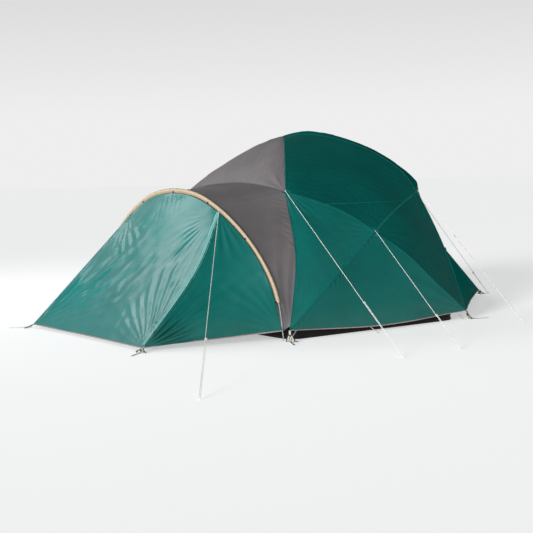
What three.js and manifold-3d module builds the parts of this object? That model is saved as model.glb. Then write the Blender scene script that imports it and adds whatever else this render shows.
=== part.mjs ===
// Pole-frame dome tent with a staked front vestibule and a low rear wing.
// Millimetres, +Z up. The origin is the middle of the groundsheet's underside, -X is the front and
// -Y the left. Seam lines are laid down first; poles, fly panels and the inner tent all follow them.
import * as THREE from 'three';
import Module from 'manifold-3d';
import { mergeVertices } from 'three/addons/utils/BufferGeometryUtils.js';

// ---- Driving dimensions ----------------------------------------------------------------------
const HALF_DEPTH = 1150;       // plan half size along X, at the pole feet
const HALF_WIDTH = 1650;       // plan half size along Y, at the pole feet
const APEX_HEIGHT = 1990;
const CORNER_HEM_HEIGHT = 105;  // fly hem above the ground at the corners
const SIDE_HEM_HEIGHT = 52;    // fly hem above the ground half way along a side

const CLOTH = 2.5;             // thickness of every cloth shell
const SEAM_INSET = 2.5;        // each panel stops this far short of its seam line
const FOOT_CLEARANCE = 9;      // pole tips above the ground

const POLE_RADIUS = 5.5;
const POLE_LAYER = 14;         // crossing poles lie one layer apart
const FIRST_LAYER = 17;        // depth of the outermost pole's axis below the seam line
const INNER_DEPTH = 125;       // depth of the inner tent below the seam lines

const ARCH_POLE_RADIUS = 5;
const SLEEVE_OUTER_RADIUS = 19;
const SLEEVE_INNER_RADIUS = 13;
const SLEEVE_FOOT_HEIGHT = 385;
const ARCH_MARGIN = 24;        // cloth edges keep this far from the arch's axis

const TUB_HALF_DEPTH = 1085;
const TUB_HALF_WIDTH = 1570;
const TUB_HEIGHT = 110;
const TUB_SHEET = 4;

const GUY_RADIUS = 1.5;
const GUY_SPACING = 10;        // between the two strands below a slider
const SLIDER_LENGTH = 34;
const PEG_RADIUS = 3.5;
const PEG_LENGTH = 200;

const COLOURS = {
  teal: 0x0f5a50, tealLight: 0x1b7f70, grey: 0x5b5552, tan: 0xb59a78, black: 0x141516,
  mesh: 0xc9c6ba, alloy: 0xb9bcc0, white: 0xe9e9e4,
};

// ---- Points and seam lines -------------------------------------------------------------------
const point = (x, y, z) => new THREE.Vector3(x, y, z);
const mirrored = (p) => point(p.x, -p.y, p.z);
const mix = (a, b, t) => a.clone().lerp(b, t);

const FRONT_CORNER = point(-HALF_DEPTH, -HALF_WIDTH, CORNER_HEM_HEIGHT);
const REAR_CORNER = point(HALF_DEPTH, -HALF_WIDTH, CORNER_HEM_HEIGHT - 10);
const APEX = point(21, 0, APEX_HEIGHT);
const FRONT_NODE = point(-663, -965, 1402);  // diagonal pole crosses the front hoop
const SIDE_NODE = point(40, -1511, 980);     // front hoop crosses the rear hoop
const REAR_NODE = point(914, -1162, 1368);   // diagonal pole crosses the rear hoop
const REAR_CLIP = point(1052, -1448, 744);   // the rear wing starts here, on the diagonal

// A hoop is symmetric about the middle plane, so its second half is its first half mirrored.
function hoop(nearHalf, crown) {
  const farHalf = nearHalf.map(mirrored).reverse();
  return new THREE.CatmullRomCurve3([...nearHalf, crown, ...farHalf], false, 'centripetal');
}

// From the left front corner over the apex to the right rear corner.
const DIAGONAL_POINTS = [
  FRONT_CORNER, point(-990, -1555, 750), FRONT_NODE, point(-403, -599, 1700),
  point(-145, -234, 1917), APEX, point(228, 269, 2006), point(578, 724, 1840),
  point(812, 1030, 1591), mirrored(REAR_NODE), mirrored(REAR_CLIP), mirrored(REAR_CORNER),
];
const FRONT_HOOP_HALF = [
  REAR_CORNER, point(736, -1679, 400), point(368, -1629, 724), SIDE_NODE,
  point(-266, -1355, 1199), FRONT_NODE,
];
const REAR_HOOP_HALF = [
  FRONT_CORNER, point(-740, -1690, 470), point(-342, -1612, 731), SIDE_NODE,
  point(311, -1431, 1138), point(586, -1310, 1245), REAR_NODE, point(1120, -900, 1490),
];
const FRONT_CROWN = point(-640, 0, 1500);
const REAR_CROWN = point(1240, 0, 1600);
const ARCH_HALF = [
  point(-1185, -1600, FOOT_CLEARANCE), point(-1274, -1650, 400), point(-1320, -1615, 600),
  point(-1360, -1480, 824), point(-1382, -1260, 1025), point(-1392, -905, 1236),
  point(-1398, -480, 1395),
];
const ARCH_CROWN = point(-1400, 0, 1447);

const diagonal = new THREE.CatmullRomCurve3(DIAGONAL_POINTS, false, 'centripetal');
const otherDiagonal = new THREE.CatmullRomCurve3(DIAGONAL_POINTS.map(mirrored), false, 'centripetal');
const frontHoop = hoop(FRONT_HOOP_HALF, FRONT_CROWN);
const rearHoop = hoop(REAR_HOOP_HALF, REAR_CROWN);
const arch = hoop(ARCH_HALF, ARCH_CROWN);

// The stretch of a seam line between two of its control points, as a function of 0 to 1.
function stretch(curve, fromIndex, toIndex) {
  const last = curve.points.length - 1;
  return (t) => curve.getPoint((fromIndex + (toIndex - fromIndex) * t) / last);
}

// A smooth line through a few points, as a function of 0 to 1.
function through(...points) {
  const curve = new THREE.CatmullRomCurve3(points, false, 'centripetal');
  return (t) => curve.getPoint(t);
}

// Seam pieces of the left half, between the points where seam lines cross. The numbers are control
// points along the curves.
const cornerToFrontNode = stretch(diagonal, 0, 2);
const frontNodeToApex = stretch(diagonal, 2, 5);
const apexToRearNode = stretch(otherDiagonal, 5, 9);
const rearNodeToClip = stretch(otherDiagonal, 9, 10);
const clipToRearCorner = stretch(otherDiagonal, 10, 11);
const rearNodeToCorner = stretch(otherDiagonal, 9, 11);
const rearCornerToSideNode = stretch(frontHoop, 0, 3);
const sideNodeToFrontNode = stretch(frontHoop, 3, 5);
const overFront = stretch(frontHoop, 5, 7);
const frontCornerToSideNode = stretch(rearHoop, 0, 3);
const sideNodeToRearNode = stretch(rearHoop, 3, 6);
const overRear = stretch(rearHoop, 6, 10);

const shifted = (line, dx, dy, dz) => (t) => line(t).add(point(dx, dy, dz));
const backwards = (line) => (t) => line(1 - t);
const onFarSide = (line) => (t) => mirrored(line(t));

// Moves a point on the canopy towards the inside of the tent.
function inward(p, depth) {
  const target = point(p.x * 0.25, p.y * 0.25, 350);
  const direction = target.sub(p).normalize();
  return p.clone().addScaledVector(direction, depth);
}

// ---- Cloth shells ----------------------------------------------------------------------------
// Blends four border lines into a surface. Bottom and top run with u, left and right with v.
function coons(bottom, top, left, right) {
  const [p00, p10, p01, p11] = [bottom(0), bottom(1), top(0), top(1)];
  return (u, v) => {
    const p = bottom(u).multiplyScalar(1 - v).addScaledVector(top(u), v);
    p.addScaledVector(left(v), 1 - u).addScaledVector(right(v), u);
    p.addScaledVector(p00, -(1 - u) * (1 - v)).addScaledVector(p10, -u * (1 - v));
    return p.addScaledVector(p01, -(1 - u) * v).addScaledVector(p11, -u * v);
  };
}

// A three-sided panel: its two sides meet at the apex point.
function threeSided(base, left, right) {
  const apex = left(1);
  return coons(base, () => apex.clone(), left, right);
}

// Samples a surface; u and v ranges leave out the ends where a panel narrows to nothing.
function sample(surface, columns, rows, uRange = [0, 1], vRange = [0, 1]) {
  const grid = [];
  for (let j = 0; j <= rows; j++) {
    const v = THREE.MathUtils.lerp(vRange[0], vRange[1], j / rows);
    const row = [];
    for (let i = 0; i <= columns; i++) {
      row.push(surface(THREE.MathUtils.lerp(uRange[0], uRange[1], i / columns), v));
    }
    grid.push(row);
  }
  return grid;
}

// Moves a point towards its neighbour, but never so far that a narrow tip would cross itself.
function drawnTo(p, neighbour, distance) {
  const step = neighbour.clone().sub(p);
  return p.addScaledVector(step.normalize(), Math.min(distance, 0.4 * neighbour.distanceTo(p)));
}

// Draws the border of a grid in towards its middle, so that neighbouring panels keep apart.
function drawnIn(grid, distance) {
  const lastRow = grid.length - 1;
  const lastColumn = grid[0].length - 1;
  return grid.map((row, j) => row.map((p, i) => {
    const moved = p.clone();
    if (i === 0 || i === lastColumn) {
      drawnTo(moved, row[THREE.MathUtils.clamp(i, 1, lastColumn - 1)], distance);
    }
    if (j === 0 || j === lastRow) {
      drawnTo(moved, grid[THREE.MathUtils.clamp(j, 1, lastRow - 1)][i], distance);
    }
    return moved;
  }));
}

// The direction that points away from the given inside point, at each grid vertex.
function outwardNormals(grid, inside) {
  const at = (j, i) => grid[THREE.MathUtils.clamp(j, 0, grid.length - 1)][
    THREE.MathUtils.clamp(i, 0, grid[0].length - 1)];
  return grid.map((row, j) => row.map((p, i) => {
    const along = at(j, i + 1).clone().sub(at(j, i - 1));
    const up = at(j + 1, i).clone().sub(at(j - 1, i));
    const normal = along.cross(up).normalize();
    return normal.dot(p.clone().sub(inside)) < 0 ? normal.negate() : normal;
  }));
}

// Gives a grid of points a thickness. Cells named by isHole are left open all the way through.
function shell(grid, inside, thickness = CLOTH, isHole = () => false) {
  const rows = grid.length - 1;
  const columns = grid[0].length - 1;
  const normals = outwardNormals(grid, inside);
  const positions = [];
  for (const depth of [0, thickness]) {
    grid.forEach((row, j) => row.forEach((p, i) => {
      const q = p.clone().addScaledVector(normals[j][i], -depth);
      positions.push(q.x, q.y, q.z);
    }));
  }
  const layer = (rows + 1) * (columns + 1);
  const outer = (j, i) => j * (columns + 1) + i;
  const index = [];
  const quad = (a, b, c, d) => index.push(a, b, c, a, c, d);
  const wall = (a, b) => quad(b, a, a + layer, b + layer);
  const kept = (j, i) => j >= 0 && i >= 0 && j < rows && i < columns && !isHole(j, i);
  for (let j = 0; j < rows; j++) {
    for (let i = 0; i < columns; i++) {
      if (!kept(j, i)) continue;
      const [a, b, c, d] = [outer(j, i), outer(j, i + 1), outer(j + 1, i + 1), outer(j + 1, i)];
      quad(a, b, c, d);
      quad(a + layer, d + layer, c + layer, b + layer);
      if (!kept(j - 1, i)) wall(a, b);
      if (!kept(j, i + 1)) wall(b, c);
      if (!kept(j + 1, i)) wall(c, d);
      if (!kept(j, i - 1)) wall(d, a);
    }
  }
  return facingOut(positions, index);
}

// Turns the faces round when the enclosed volume comes out negative.
function facingOut(positions, index) {
  const corner = (k) => new THREE.Vector3().fromArray(positions, 3 * index[k]);
  let volume = 0;
  for (let k = 0; k < index.length; k += 3) {
    volume += corner(k).dot(corner(k + 1).cross(corner(k + 2)));
  }
  if (volume < 0) {
    for (let k = 0; k < index.length; k += 3) {
      [index[k], index[k + 1]] = [index[k + 1], index[k]];
    }
  }
  const geometry = new THREE.BufferGeometry();
  geometry.setAttribute('position', new THREE.Float32BufferAttribute(positions, 3));
  geometry.setIndex(index);
  return geometry;
}

// ---- Tubes, bars and the scene graph ---------------------------------------------------------
function disc(radius, sides) {
  const corners = [];
  for (let k = 0; k < sides; k++) {
    const angle = (k / sides) * 2 * Math.PI;
    corners.push(new THREE.Vector2(radius * Math.cos(angle), radius * Math.sin(angle)));
  }
  return corners;
}

function tube(path, radius, steps, sides = 8, boreRadius = 0) {
  const section = new THREE.Shape(disc(radius, sides));
  if (boreRadius) section.holes.push(new THREE.Path(disc(boreRadius, sides)));
  return new THREE.ExtrudeGeometry(section, { steps, extrudePath: path, bevelEnabled: false });
}

function plainGeometry(geometry) {
  const bare = geometry.index ? geometry.toNonIndexed() : geometry.clone();
  bare.deleteAttribute('normal');
  bare.deleteAttribute('uv');
  return bare;
}

const tent = new THREE.Group();
tent.name = 'dome_tent';

function add(name, geometry, colour, roughness = 0.7, metalness = 0) {
  const material = new THREE.MeshStandardMaterial({
    color: colour, roughness, metalness, side: THREE.DoubleSide,
  });
  geometry.computeVertexNormals();
  const mesh = new THREE.Mesh(geometry, material);
  mesh.name = name;
  tent.add(mesh);
  return mesh;
}

const CABIN_MIDDLE = point(0, 0, 500);

function addPanel(name, grid, colour, { inside = CABIN_MIDDLE, inset = SEAM_INSET, isHole } = {}) {
  add(name, shell(drawnIn(grid, inset), inside, CLOTH, isHole), colour, 0.55);
}

const mirroredGrid = (grid) => grid.map((row) => row.map(mirrored));

// Adds the panel on the left and its mirror image on the right.
function addPanelPair(name, grid, colour, options = {}) {
  addPanel(`${name}_left`, grid, colour, options);
  addPanel(`${name}_right`, mirroredGrid(grid), colour, options);
}

// ---- Groundsheet -----------------------------------------------------------------------------
const wasm = await Module();
wasm.setup();

function solid(geometry) {
  const merged = mergeVertices(plainGeometry(geometry), 1e-3);
  return new wasm.Manifold(new wasm.Mesh({
    numProp: 3,
    vertProperties: merged.attributes.position.array,
    triVerts: new Uint32Array(merged.index.array),
  }));
}

function geometryOf(manifold) {
  const { vertProperties, triVerts } = manifold.getMesh();
  const geometry = new THREE.BufferGeometry();
  geometry.setAttribute('position', new THREE.Float32BufferAttribute(vertProperties, 3));
  geometry.setIndex(Array.from(triVerts));
  return geometry;
}

const joined = (...geometries) => geometryOf(
  geometries.map(solid).reduce((whole, piece) => whole.add(piece)));

function groundsheet() {
  const outside = new THREE.BoxGeometry(2 * TUB_HALF_DEPTH, 2 * TUB_HALF_WIDTH, TUB_HEIGHT);
  outside.translate(0, 0, TUB_HEIGHT / 2);
  const hollow = new THREE.BoxGeometry(
    2 * (TUB_HALF_DEPTH - TUB_SHEET), 2 * (TUB_HALF_WIDTH - TUB_SHEET), TUB_HEIGHT,
  );
  hollow.translate(0, 0, TUB_HEIGHT / 2 + TUB_SHEET);
  return geometryOf(solid(outside).subtract(solid(hollow)));
}

add('groundsheet_tub', groundsheet(), COLOURS.black, 0.6);

// ---- Poles -----------------------------------------------------------------------------------
// A dome pole runs below its seam line and goes on to the ground at both ends.
function polePath(points, layer) {
  const lowered = points.map((p) => inward(p, FIRST_LAYER + layer * POLE_LAYER));
  for (const foot of [lowered[0], lowered[lowered.length - 1]]) foot.z = FOOT_CLEARANCE;
  return new THREE.CatmullRomCurve3(lowered, false, 'centripetal');
}

[
  ['pole_diagonal_left', diagonal],
  ['pole_diagonal_right', otherDiagonal],
  ['pole_hoop_front', frontHoop],
  ['pole_hoop_rear', rearHoop],
].forEach(([name, seam], layer) => {
  add(name, tube(polePath(seam.points, layer), POLE_RADIUS, 40), COLOURS.alloy, 0.3, 0.9);
});

add('pole_arch', tube(arch, ARCH_POLE_RADIUS, 36), COLOURS.alloy, 0.3, 0.9);

// The sleeve covers the arch pole down to a hand's height above each foot.
function sleevePath() {
  const samples = arch.getSpacedPoints(60).filter((p) => p.z > SLEEVE_FOOT_HEIGHT);
  return new THREE.CatmullRomCurve3(samples, false, 'centripetal');
}
add('arch_sleeve', tube(sleevePath(), SLEEVE_OUTER_RADIUS, 30, 8, SLEEVE_INNER_RADIUS),
  COLOURS.tan, 0.9);

// ---- Dome fly --------------------------------------------------------------------------------
const APEX_CUT = [0, 0.975];  // three-sided panels stop just short of their apex

const frontUpper = threeSided(
  backwards(overFront), onFarSide(frontNodeToApex), frontNodeToApex);
addPanel('fly_front_upper', sample(frontUpper, 10, 7, [0, 1], APEX_CUT), COLOURS.grey);

const roofSide = coons(
  backwards(sideNodeToFrontNode), apexToRearNode, frontNodeToApex, sideNodeToRearNode);
addPanelPair('fly_roof', sample(roofSide, 9, 8), COLOURS.teal);

const sideFront = threeSided(frontCornerToSideNode, cornerToFrontNode, sideNodeToFrontNode);
addPanelPair('fly_side_front', sample(sideFront, 8, 6, [0.02, 1], APEX_CUT), COLOURS.teal);

const sideRear = threeSided(
  backwards(rearCornerToSideNode), sideNodeToRearNode, backwards(rearNodeToCorner));
addPanelPair('fly_side_rear', sample(sideRear, 8, 6, [0, 0.98], APEX_CUT), COLOURS.teal);

const sideHem = through(FRONT_CORNER, point(0, -HALF_WIDTH - 40, SIDE_HEM_HEIGHT), REAR_CORNER);
const sideLow = threeSided(sideHem, frontCornerToSideNode, rearCornerToSideNode);
addPanelPair('fly_side_low', sample(sideLow, 8, 6, [0, 1], APEX_CUT), COLOURS.teal);

const rearUpper = threeSided(
  overRear, backwards(apexToRearNode), backwards(onFarSide(apexToRearNode)));
addPanel('fly_rear_upper', sample(rearUpper, 10, 6, [0, 1], APEX_CUT), COLOURS.teal);

const wingLine = through(REAR_CLIP, point(1300, 0, 800), mirrored(REAR_CLIP));
const rearLower = coons(
  wingLine, overRear, backwards(rearNodeToClip), backwards(onFarSide(rearNodeToClip)));
addPanel('fly_rear_lower', sample(rearLower, 10, 5), COLOURS.teal);

// The grey tunnel between the dome and the arch narrows to nothing at both feet.
const FLANK = 0.34;                          // share of its rear edge on each diagonal
function tunnelRearEdge(u) {
  if (u < FLANK) return cornerToFrontNode(u / FLANK);
  if (u > 1 - FLANK) return onFarSide(cornerToFrontNode)((1 - u) / FLANK);
  return overFront((u - FLANK) / (1 - 2 * FLANK));
}
const archLine = (t) => arch.getPointAt(t);
function tunnel(u, v) {
  const front = shifted(archLine, ARCH_MARGIN, 0, 0)(u);
  front.z = Math.max(front.z, CORNER_HEM_HEIGHT);
  return mix(front, tunnelRearEdge(u), v);
}
addPanel('fly_front_lower', sample(tunnel, 24, 4, [0.05, 0.95]), COLOURS.grey,
  { inside: point(-900, 0, 300) });

// ---- Rear wing -------------------------------------------------------------------------------
const WING_TIP = point(2980, 0, 62);
const WING_CUT = [0, 0.97];                  // the wing panels stop short of its tip
const wing = { inside: point(1500, 0, 150), inset: 7 };
const wingEdge = through(REAR_CLIP, WING_TIP);
const wingHem = through(REAR_CORNER, point(2020, -850, 95), WING_TIP);
const wingSide = threeSided(backwards(clipToRearCorner), wingHem, wingEdge);
addPanelPair('wing_side', sample(wingSide, 4, 8, [0, 1], WING_CUT), COLOURS.teal, wing);

const wingTop = threeSided(wingLine, wingEdge, onFarSide(wingEdge));
addPanel('wing_top', sample(wingTop, 8, 8, [0, 1], WING_CUT), COLOURS.teal, wing);

// ---- Vestibule -------------------------------------------------------------------------------
const VESTIBULE_CORNER = point(-2500, -1220, 35);
const ZIP_BEND = point(-1821, -1095, 695);   // the zipped seam turns towards the arch here
const SEAM_TOP = 5;                          // arch control point where the side seams end
const ARCH_LAST = 14;
const vestibule = { inside: point(-1500, 0, 200) };

const archFront = (line) => shifted(line, -ARCH_MARGIN, 0, 0);
const seamTop = archFront(stretch(arch, SEAM_TOP, ARCH_LAST))(0);
const zipSeam = through(VESTIBULE_CORNER, ZIP_BEND, seamTop);
const hingeSeam = through(mirrored(VESTIBULE_CORNER), mirrored(seamTop));

const frontHem = through(VESTIBULE_CORNER, point(-2470, 0, 28), mirrored(VESTIBULE_CORNER));
const door = coons(
  frontHem, archFront(stretch(arch, SEAM_TOP, ARCH_LAST - SEAM_TOP)), zipSeam, hingeSeam);
addPanel('vestibule_door', sample(door, 12, 12), COLOURS.tealLight, vestibule);

// The side panel's rear edge follows the arch and meets the dome's corner just above the ground.
const footFront = point(FRONT_CORNER.x - 60, FRONT_CORNER.y + 20, CORNER_HEM_HEIGHT);
const vestibuleHem = through(VESTIBULE_CORNER, footFront);
const archFlank = archFront(stretch(arch, 0.35, SEAM_TOP));
const flank = (t) => mix(footFront, archFlank(t), Math.min(1, t * 6));
const SIDE_CUT = [0, 0.97];

function vestibuleSide(seam) {
  return sample(threeSided(vestibuleHem, seam, flank), 8, 10, [0, 1], SIDE_CUT);
}
addPanel('vestibule_side_left', vestibuleSide(zipSeam), COLOURS.teal, vestibule);
addPanel('vestibule_side_right', mirroredGrid(vestibuleSide(onFarSide(hingeSeam))), COLOURS.teal,
  vestibule);

// ---- Zip slider ------------------------------------------------------------------------------
// It starts at the foot of the zip and runs up the straight part of the seam.
const ZIP_START = 0.1;
const zipDirection = zipSeam(0.4).sub(zipSeam(ZIP_START)).normalize();

function placedAlong(geometry, start, direction, sideHint = point(0, 0, 1)) {
  const across = sideHint.clone().cross(direction).normalize();
  const up = direction.clone().cross(across);
  const basis = new THREE.Matrix4().makeBasis(across, up, direction).setPosition(start);
  return geometry.applyMatrix4(basis);
}

function zipSlider() {
  const body = new THREE.BoxGeometry(9, 5, 16);
  const puller = new THREE.BoxGeometry(5, 2, 34);
  puller.translate(0, 3, -14);
  return joined(body, puller);
}
const sliderSeat = zipSeam(ZIP_START).add(point(-9, -12, 12));
add('zip_slider', placedAlong(zipSlider(), sliderSeat, zipDirection, point(0.3, -1, 0)),
  COLOURS.alloy, 0.3, 0.9);

// ---- Inner tent ------------------------------------------------------------------------------
// Four walls hang inside the poles, each between two lowered diagonals and the groundsheet's rim.
const lowered = (curve) => new THREE.CatmullRomCurve3(
  curve.points.map((p) => inward(p, INNER_DEPTH)), false, 'centripetal');
const innerDiagonal = lowered(diagonal);
const innerOther = lowered(otherDiagonal);
const innerFrontEdge = through(innerDiagonal.points[0], innerOther.points[0]);
const innerRearEdge = through(innerOther.points[11], innerDiagonal.points[11]);
const innerSideEdge = through(innerDiagonal.points[0], innerOther.points[11]);
const frontLeg = stretch(innerDiagonal, 0, 5);
const otherFrontLeg = stretch(innerOther, 0, 5);
const rearLeg = backwards(stretch(innerOther, 5, 11));
const otherRearLeg = backwards(stretch(innerDiagonal, 5, 11));
const INNER_CUT = [0, 0.97];
const inner = { inset: 6 };

// The doorway stands on the groundsheet's rim, in the middle third of the front wall.
const doorway = (row, column) => row < 5 && column >= 4 && column < 8;
addPanel('inner_wall_front',
  sample(threeSided(innerFrontEdge, frontLeg, otherFrontLeg), 12, 10, [0, 1], INNER_CUT),
  COLOURS.mesh, { ...inner, isHole: doorway });
addPanel('inner_wall_rear',
  sample(threeSided(innerRearEdge, rearLeg, otherRearLeg), 8, 8, [0, 1], INNER_CUT),
  COLOURS.mesh, inner);
addPanelPair('inner_wall',
  sample(threeSided(innerSideEdge, frontLeg, rearLeg), 8, 8, [0, 1], INNER_CUT),
  COLOURS.mesh, inner);

// ---- Guy lines -------------------------------------------------------------------------------
// Each line runs straight from a loop on the fly to the ground. Below its slider it is doubled.
const LOOP_STANDOFF = 16;
const GUYS = [
  { name: 'front', top: FRONT_NODE, foot: point(-1028, -3124, 5), slider: 0.7, pair: true },
  { name: 'side', top: SIDE_NODE, foot: point(-349, -3122, 5), slider: 0.73, pair: true },
  { name: 'rear', top: REAR_NODE, foot: point(1373, -2249, 5), slider: 0.35, pair: true },
  { name: 'wing', top: rearHoop.getPoint(7.4 / 16), foot: point(3100, -45, 5), slider: 0.8 },
  { name: 'arch', top: seamTop, foot: point(-3314, -3545, 5), slider: 0.74 },
];

function strand(offset, from, to) {
  const bar = new THREE.CylinderGeometry(GUY_RADIUS, GUY_RADIUS, to - from, 8);
  bar.rotateX(Math.PI / 2);
  return bar.translate(offset, 0, (from + to) / 2);
}

function sliderBody() {
  const section = new THREE.Shape([
    new THREE.Vector2(-11, -4.5), new THREE.Vector2(11, -4.5),
    new THREE.Vector2(11, 4.5), new THREE.Vector2(-11, 4.5),
  ]);
  for (const side of [-1, 1]) {
    const hole = disc(GUY_RADIUS + 0.9, 8).map((c) => c.setX(c.x + side * GUY_SPACING / 2));
    section.holes.push(new THREE.Path(hole));
  }
  return new THREE.ExtrudeGeometry(section, { depth: SLIDER_LENGTH, bevelEnabled: false });
}

function addGuy(name, top, foot, sliderAt) {
  const outward = top.clone().sub(inward(top, 1)).normalize();
  const start = top.clone().addScaledVector(outward, LOOP_STANDOFF);
  const direction = foot.clone().sub(start).normalize();
  const length = foot.distanceTo(start);
  const seat = length * sliderAt;
  const offset = GUY_SPACING / 2;
  const turn = new THREE.BoxGeometry(GUY_SPACING + 2 * GUY_RADIUS, 2 * GUY_RADIUS, 4);
  const line = joined(
    strand(-offset, 0, length),
    strand(offset, seat + SLIDER_LENGTH / 2, length),
    turn.translate(0, 0, length - 2),
  );
  add(`guy_${name}`, placedAlong(line, start, direction), COLOURS.white, 0.8);
  const body = sliderBody().translate(0, 0, seat);
  add(`guy_slider_${name}`, placedAlong(body, start, direction), COLOURS.white, 0.5);
}

for (const guy of GUYS) {
  addGuy(`${guy.name}_left`, guy.top, guy.foot, guy.slider);
  if (guy.pair) addGuy(`${guy.name}_right`, mirrored(guy.top), mirrored(guy.foot), guy.slider);
}

// ---- Pegs and corner straps ------------------------------------------------------------------
// Every staked corner has a short strap down to a ring, and a peg that lies beside it.
const STAKED = [
  { name: 'front', corner: FRONT_CORNER, outward: point(-0.5, -1, 0), pair: true },
  { name: 'rear', corner: REAR_CORNER, outward: point(1, -0.35, 0), pair: true },
  { name: 'vestibule', corner: VESTIBULE_CORNER, outward: point(-1, -0.8, 0), pair: true },
  { name: 'wing', corner: WING_TIP, outward: point(1, 0.3, 0) },
];
const STRAP_TOP = 12;    // all measured outwards from the corner
const STRAP_FOOT = 40;
const RING_CENTRE = 50;
const PEG_START = 66;

function peg(corner, away) {
  const side = point(-away.y, away.x, 0);
  const at = (along, across) => corner.clone().setZ(PEG_RADIUS + 0.5)
    .addScaledVector(away, PEG_START + along).addScaledVector(side, across);
  const path = new THREE.CatmullRomCurve3([
    at(PEG_LENGTH, 0), at(60, 0), at(22, 0), at(9, 6), at(9, 17), at(22, 22),
  ], false, 'centripetal');
  return tube(path, PEG_RADIUS, 14, 6);
}

function strapAndRing(corner, away) {
  const top = corner.clone().addScaledVector(away, STRAP_TOP);
  const run = corner.clone().addScaledVector(away, STRAP_FOOT).setZ(3).sub(top);
  const band = new THREE.BoxGeometry(20, 2, run.length());
  band.translate(0, 0, run.length() / 2);
  const section = new THREE.Shape(disc(12, 12));
  section.holes.push(new THREE.Path(disc(8, 12)));
  const ring = new THREE.ExtrudeGeometry(section, { depth: 3, bevelEnabled: false });
  ring.translate(corner.x + away.x * RING_CENTRE, corner.y + away.y * RING_CENTRE, 1);
  return joined(placedAlong(band, top, run.normalize(), away), ring);
}

function addStake(name, corner, outward) {
  const away = outward.clone().normalize();
  add(`peg_${name}`, peg(corner, away), COLOURS.alloy, 0.3, 0.9);
  add(`corner_strap_${name}`, strapAndRing(corner, away), COLOURS.white, 0.8);
}

for (const stake of STAKED) {
  addStake(stake.pair ? `${stake.name}_left` : stake.name, stake.corner, stake.outward);
  if (stake.pair) addStake(`${stake.name}_right`, mirrored(stake.corner), mirrored(stake.outward));
}

export default tent;
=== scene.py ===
"""Looks of the dome tent: cloth panels, poles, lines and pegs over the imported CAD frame. Metres."""
import math

import bpy
import numpy as np
from mathutils import Matrix, Vector
from mathutils.bvhtree import BVHTree


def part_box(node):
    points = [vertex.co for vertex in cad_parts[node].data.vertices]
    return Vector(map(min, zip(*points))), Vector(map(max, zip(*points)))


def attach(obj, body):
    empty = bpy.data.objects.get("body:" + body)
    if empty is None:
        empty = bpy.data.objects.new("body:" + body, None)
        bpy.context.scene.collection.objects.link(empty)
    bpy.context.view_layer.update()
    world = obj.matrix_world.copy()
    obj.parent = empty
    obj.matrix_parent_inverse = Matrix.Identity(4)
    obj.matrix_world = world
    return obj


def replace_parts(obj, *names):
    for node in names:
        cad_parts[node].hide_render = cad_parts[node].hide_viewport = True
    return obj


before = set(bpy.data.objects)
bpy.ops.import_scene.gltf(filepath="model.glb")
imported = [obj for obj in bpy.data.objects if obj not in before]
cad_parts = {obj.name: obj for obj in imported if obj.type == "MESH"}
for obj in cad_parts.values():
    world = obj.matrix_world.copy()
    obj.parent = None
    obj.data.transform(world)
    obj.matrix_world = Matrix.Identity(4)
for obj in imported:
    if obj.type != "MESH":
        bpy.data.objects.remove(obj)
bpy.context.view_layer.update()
bpy.context.scene.view_settings.view_transform = "Standard"
ROOT = "tent"


# ---- Camera: a standing person about 13 m from the tent's left front corner ----
CAMERA_AT = Vector((-7.656, -10.725, 1.60))
CAMERA_YAW = math.radians(55.4)
CAMERA_PITCH = math.radians(-4.5)
CAMERA_ROLL = math.radians(-1.54)
LENS_MM, SENSOR_MM = 80.3, 36
VIEW_LIMIT = 200


def add_to_scene(name, data):
    made = bpy.data.objects.new(name, data)
    bpy.context.scene.collection.objects.link(made)
    return made


def make_camera():
    forward = Vector((
        math.cos(CAMERA_YAW) * math.cos(CAMERA_PITCH),
        math.sin(CAMERA_YAW) * math.cos(CAMERA_PITCH),
        math.sin(CAMERA_PITCH)))
    level = Vector((math.sin(CAMERA_YAW), -math.cos(CAMERA_YAW), 0))
    upright = level.cross(forward)
    right = level * math.cos(CAMERA_ROLL) + upright * math.sin(CAMERA_ROLL)
    up = upright * math.cos(CAMERA_ROLL) - level * math.sin(CAMERA_ROLL)
    data = bpy.data.cameras.new("camera")
    data.lens = LENS_MM
    data.sensor_width = SENSOR_MM
    data.clip_end = VIEW_LIMIT
    camera = add_to_scene("camera", data)
    camera.matrix_world = Matrix.Translation(CAMERA_AT) @ Matrix((right, up, -forward)).transposed().to_4x4()
    bpy.context.scene.camera = camera


make_camera()

# ---- Main points and seam lines, as in the CAD part ----
SIDE = np.array([1, -1, 1.0])
SIDES = (("left", np.ones(3)), ("right", SIDE))
UP = np.array([0, 0, 1.0])
FRONT_CORNER = (-1.15, -1.65, 0.105)
REAR_CORNER = (1.15, -1.65, 0.095)
APEX = (0.021, 0, 1.99)
FRONT_NODE = (-0.663, -0.965, 1.402)
SIDE_NODE = (0.04, -1.511, 0.98)
REAR_NODE = (0.914, -1.162, 1.368)
REAR_CLIP = (1.052, -1.448, 0.744)
VESTIBULE_CORNER = (-2.5, -1.22, 0.035)
WING_TIP = (2.98, 0, 0.062)


def far(p):
    return tuple(np.array(p) * SIDE)


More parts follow.
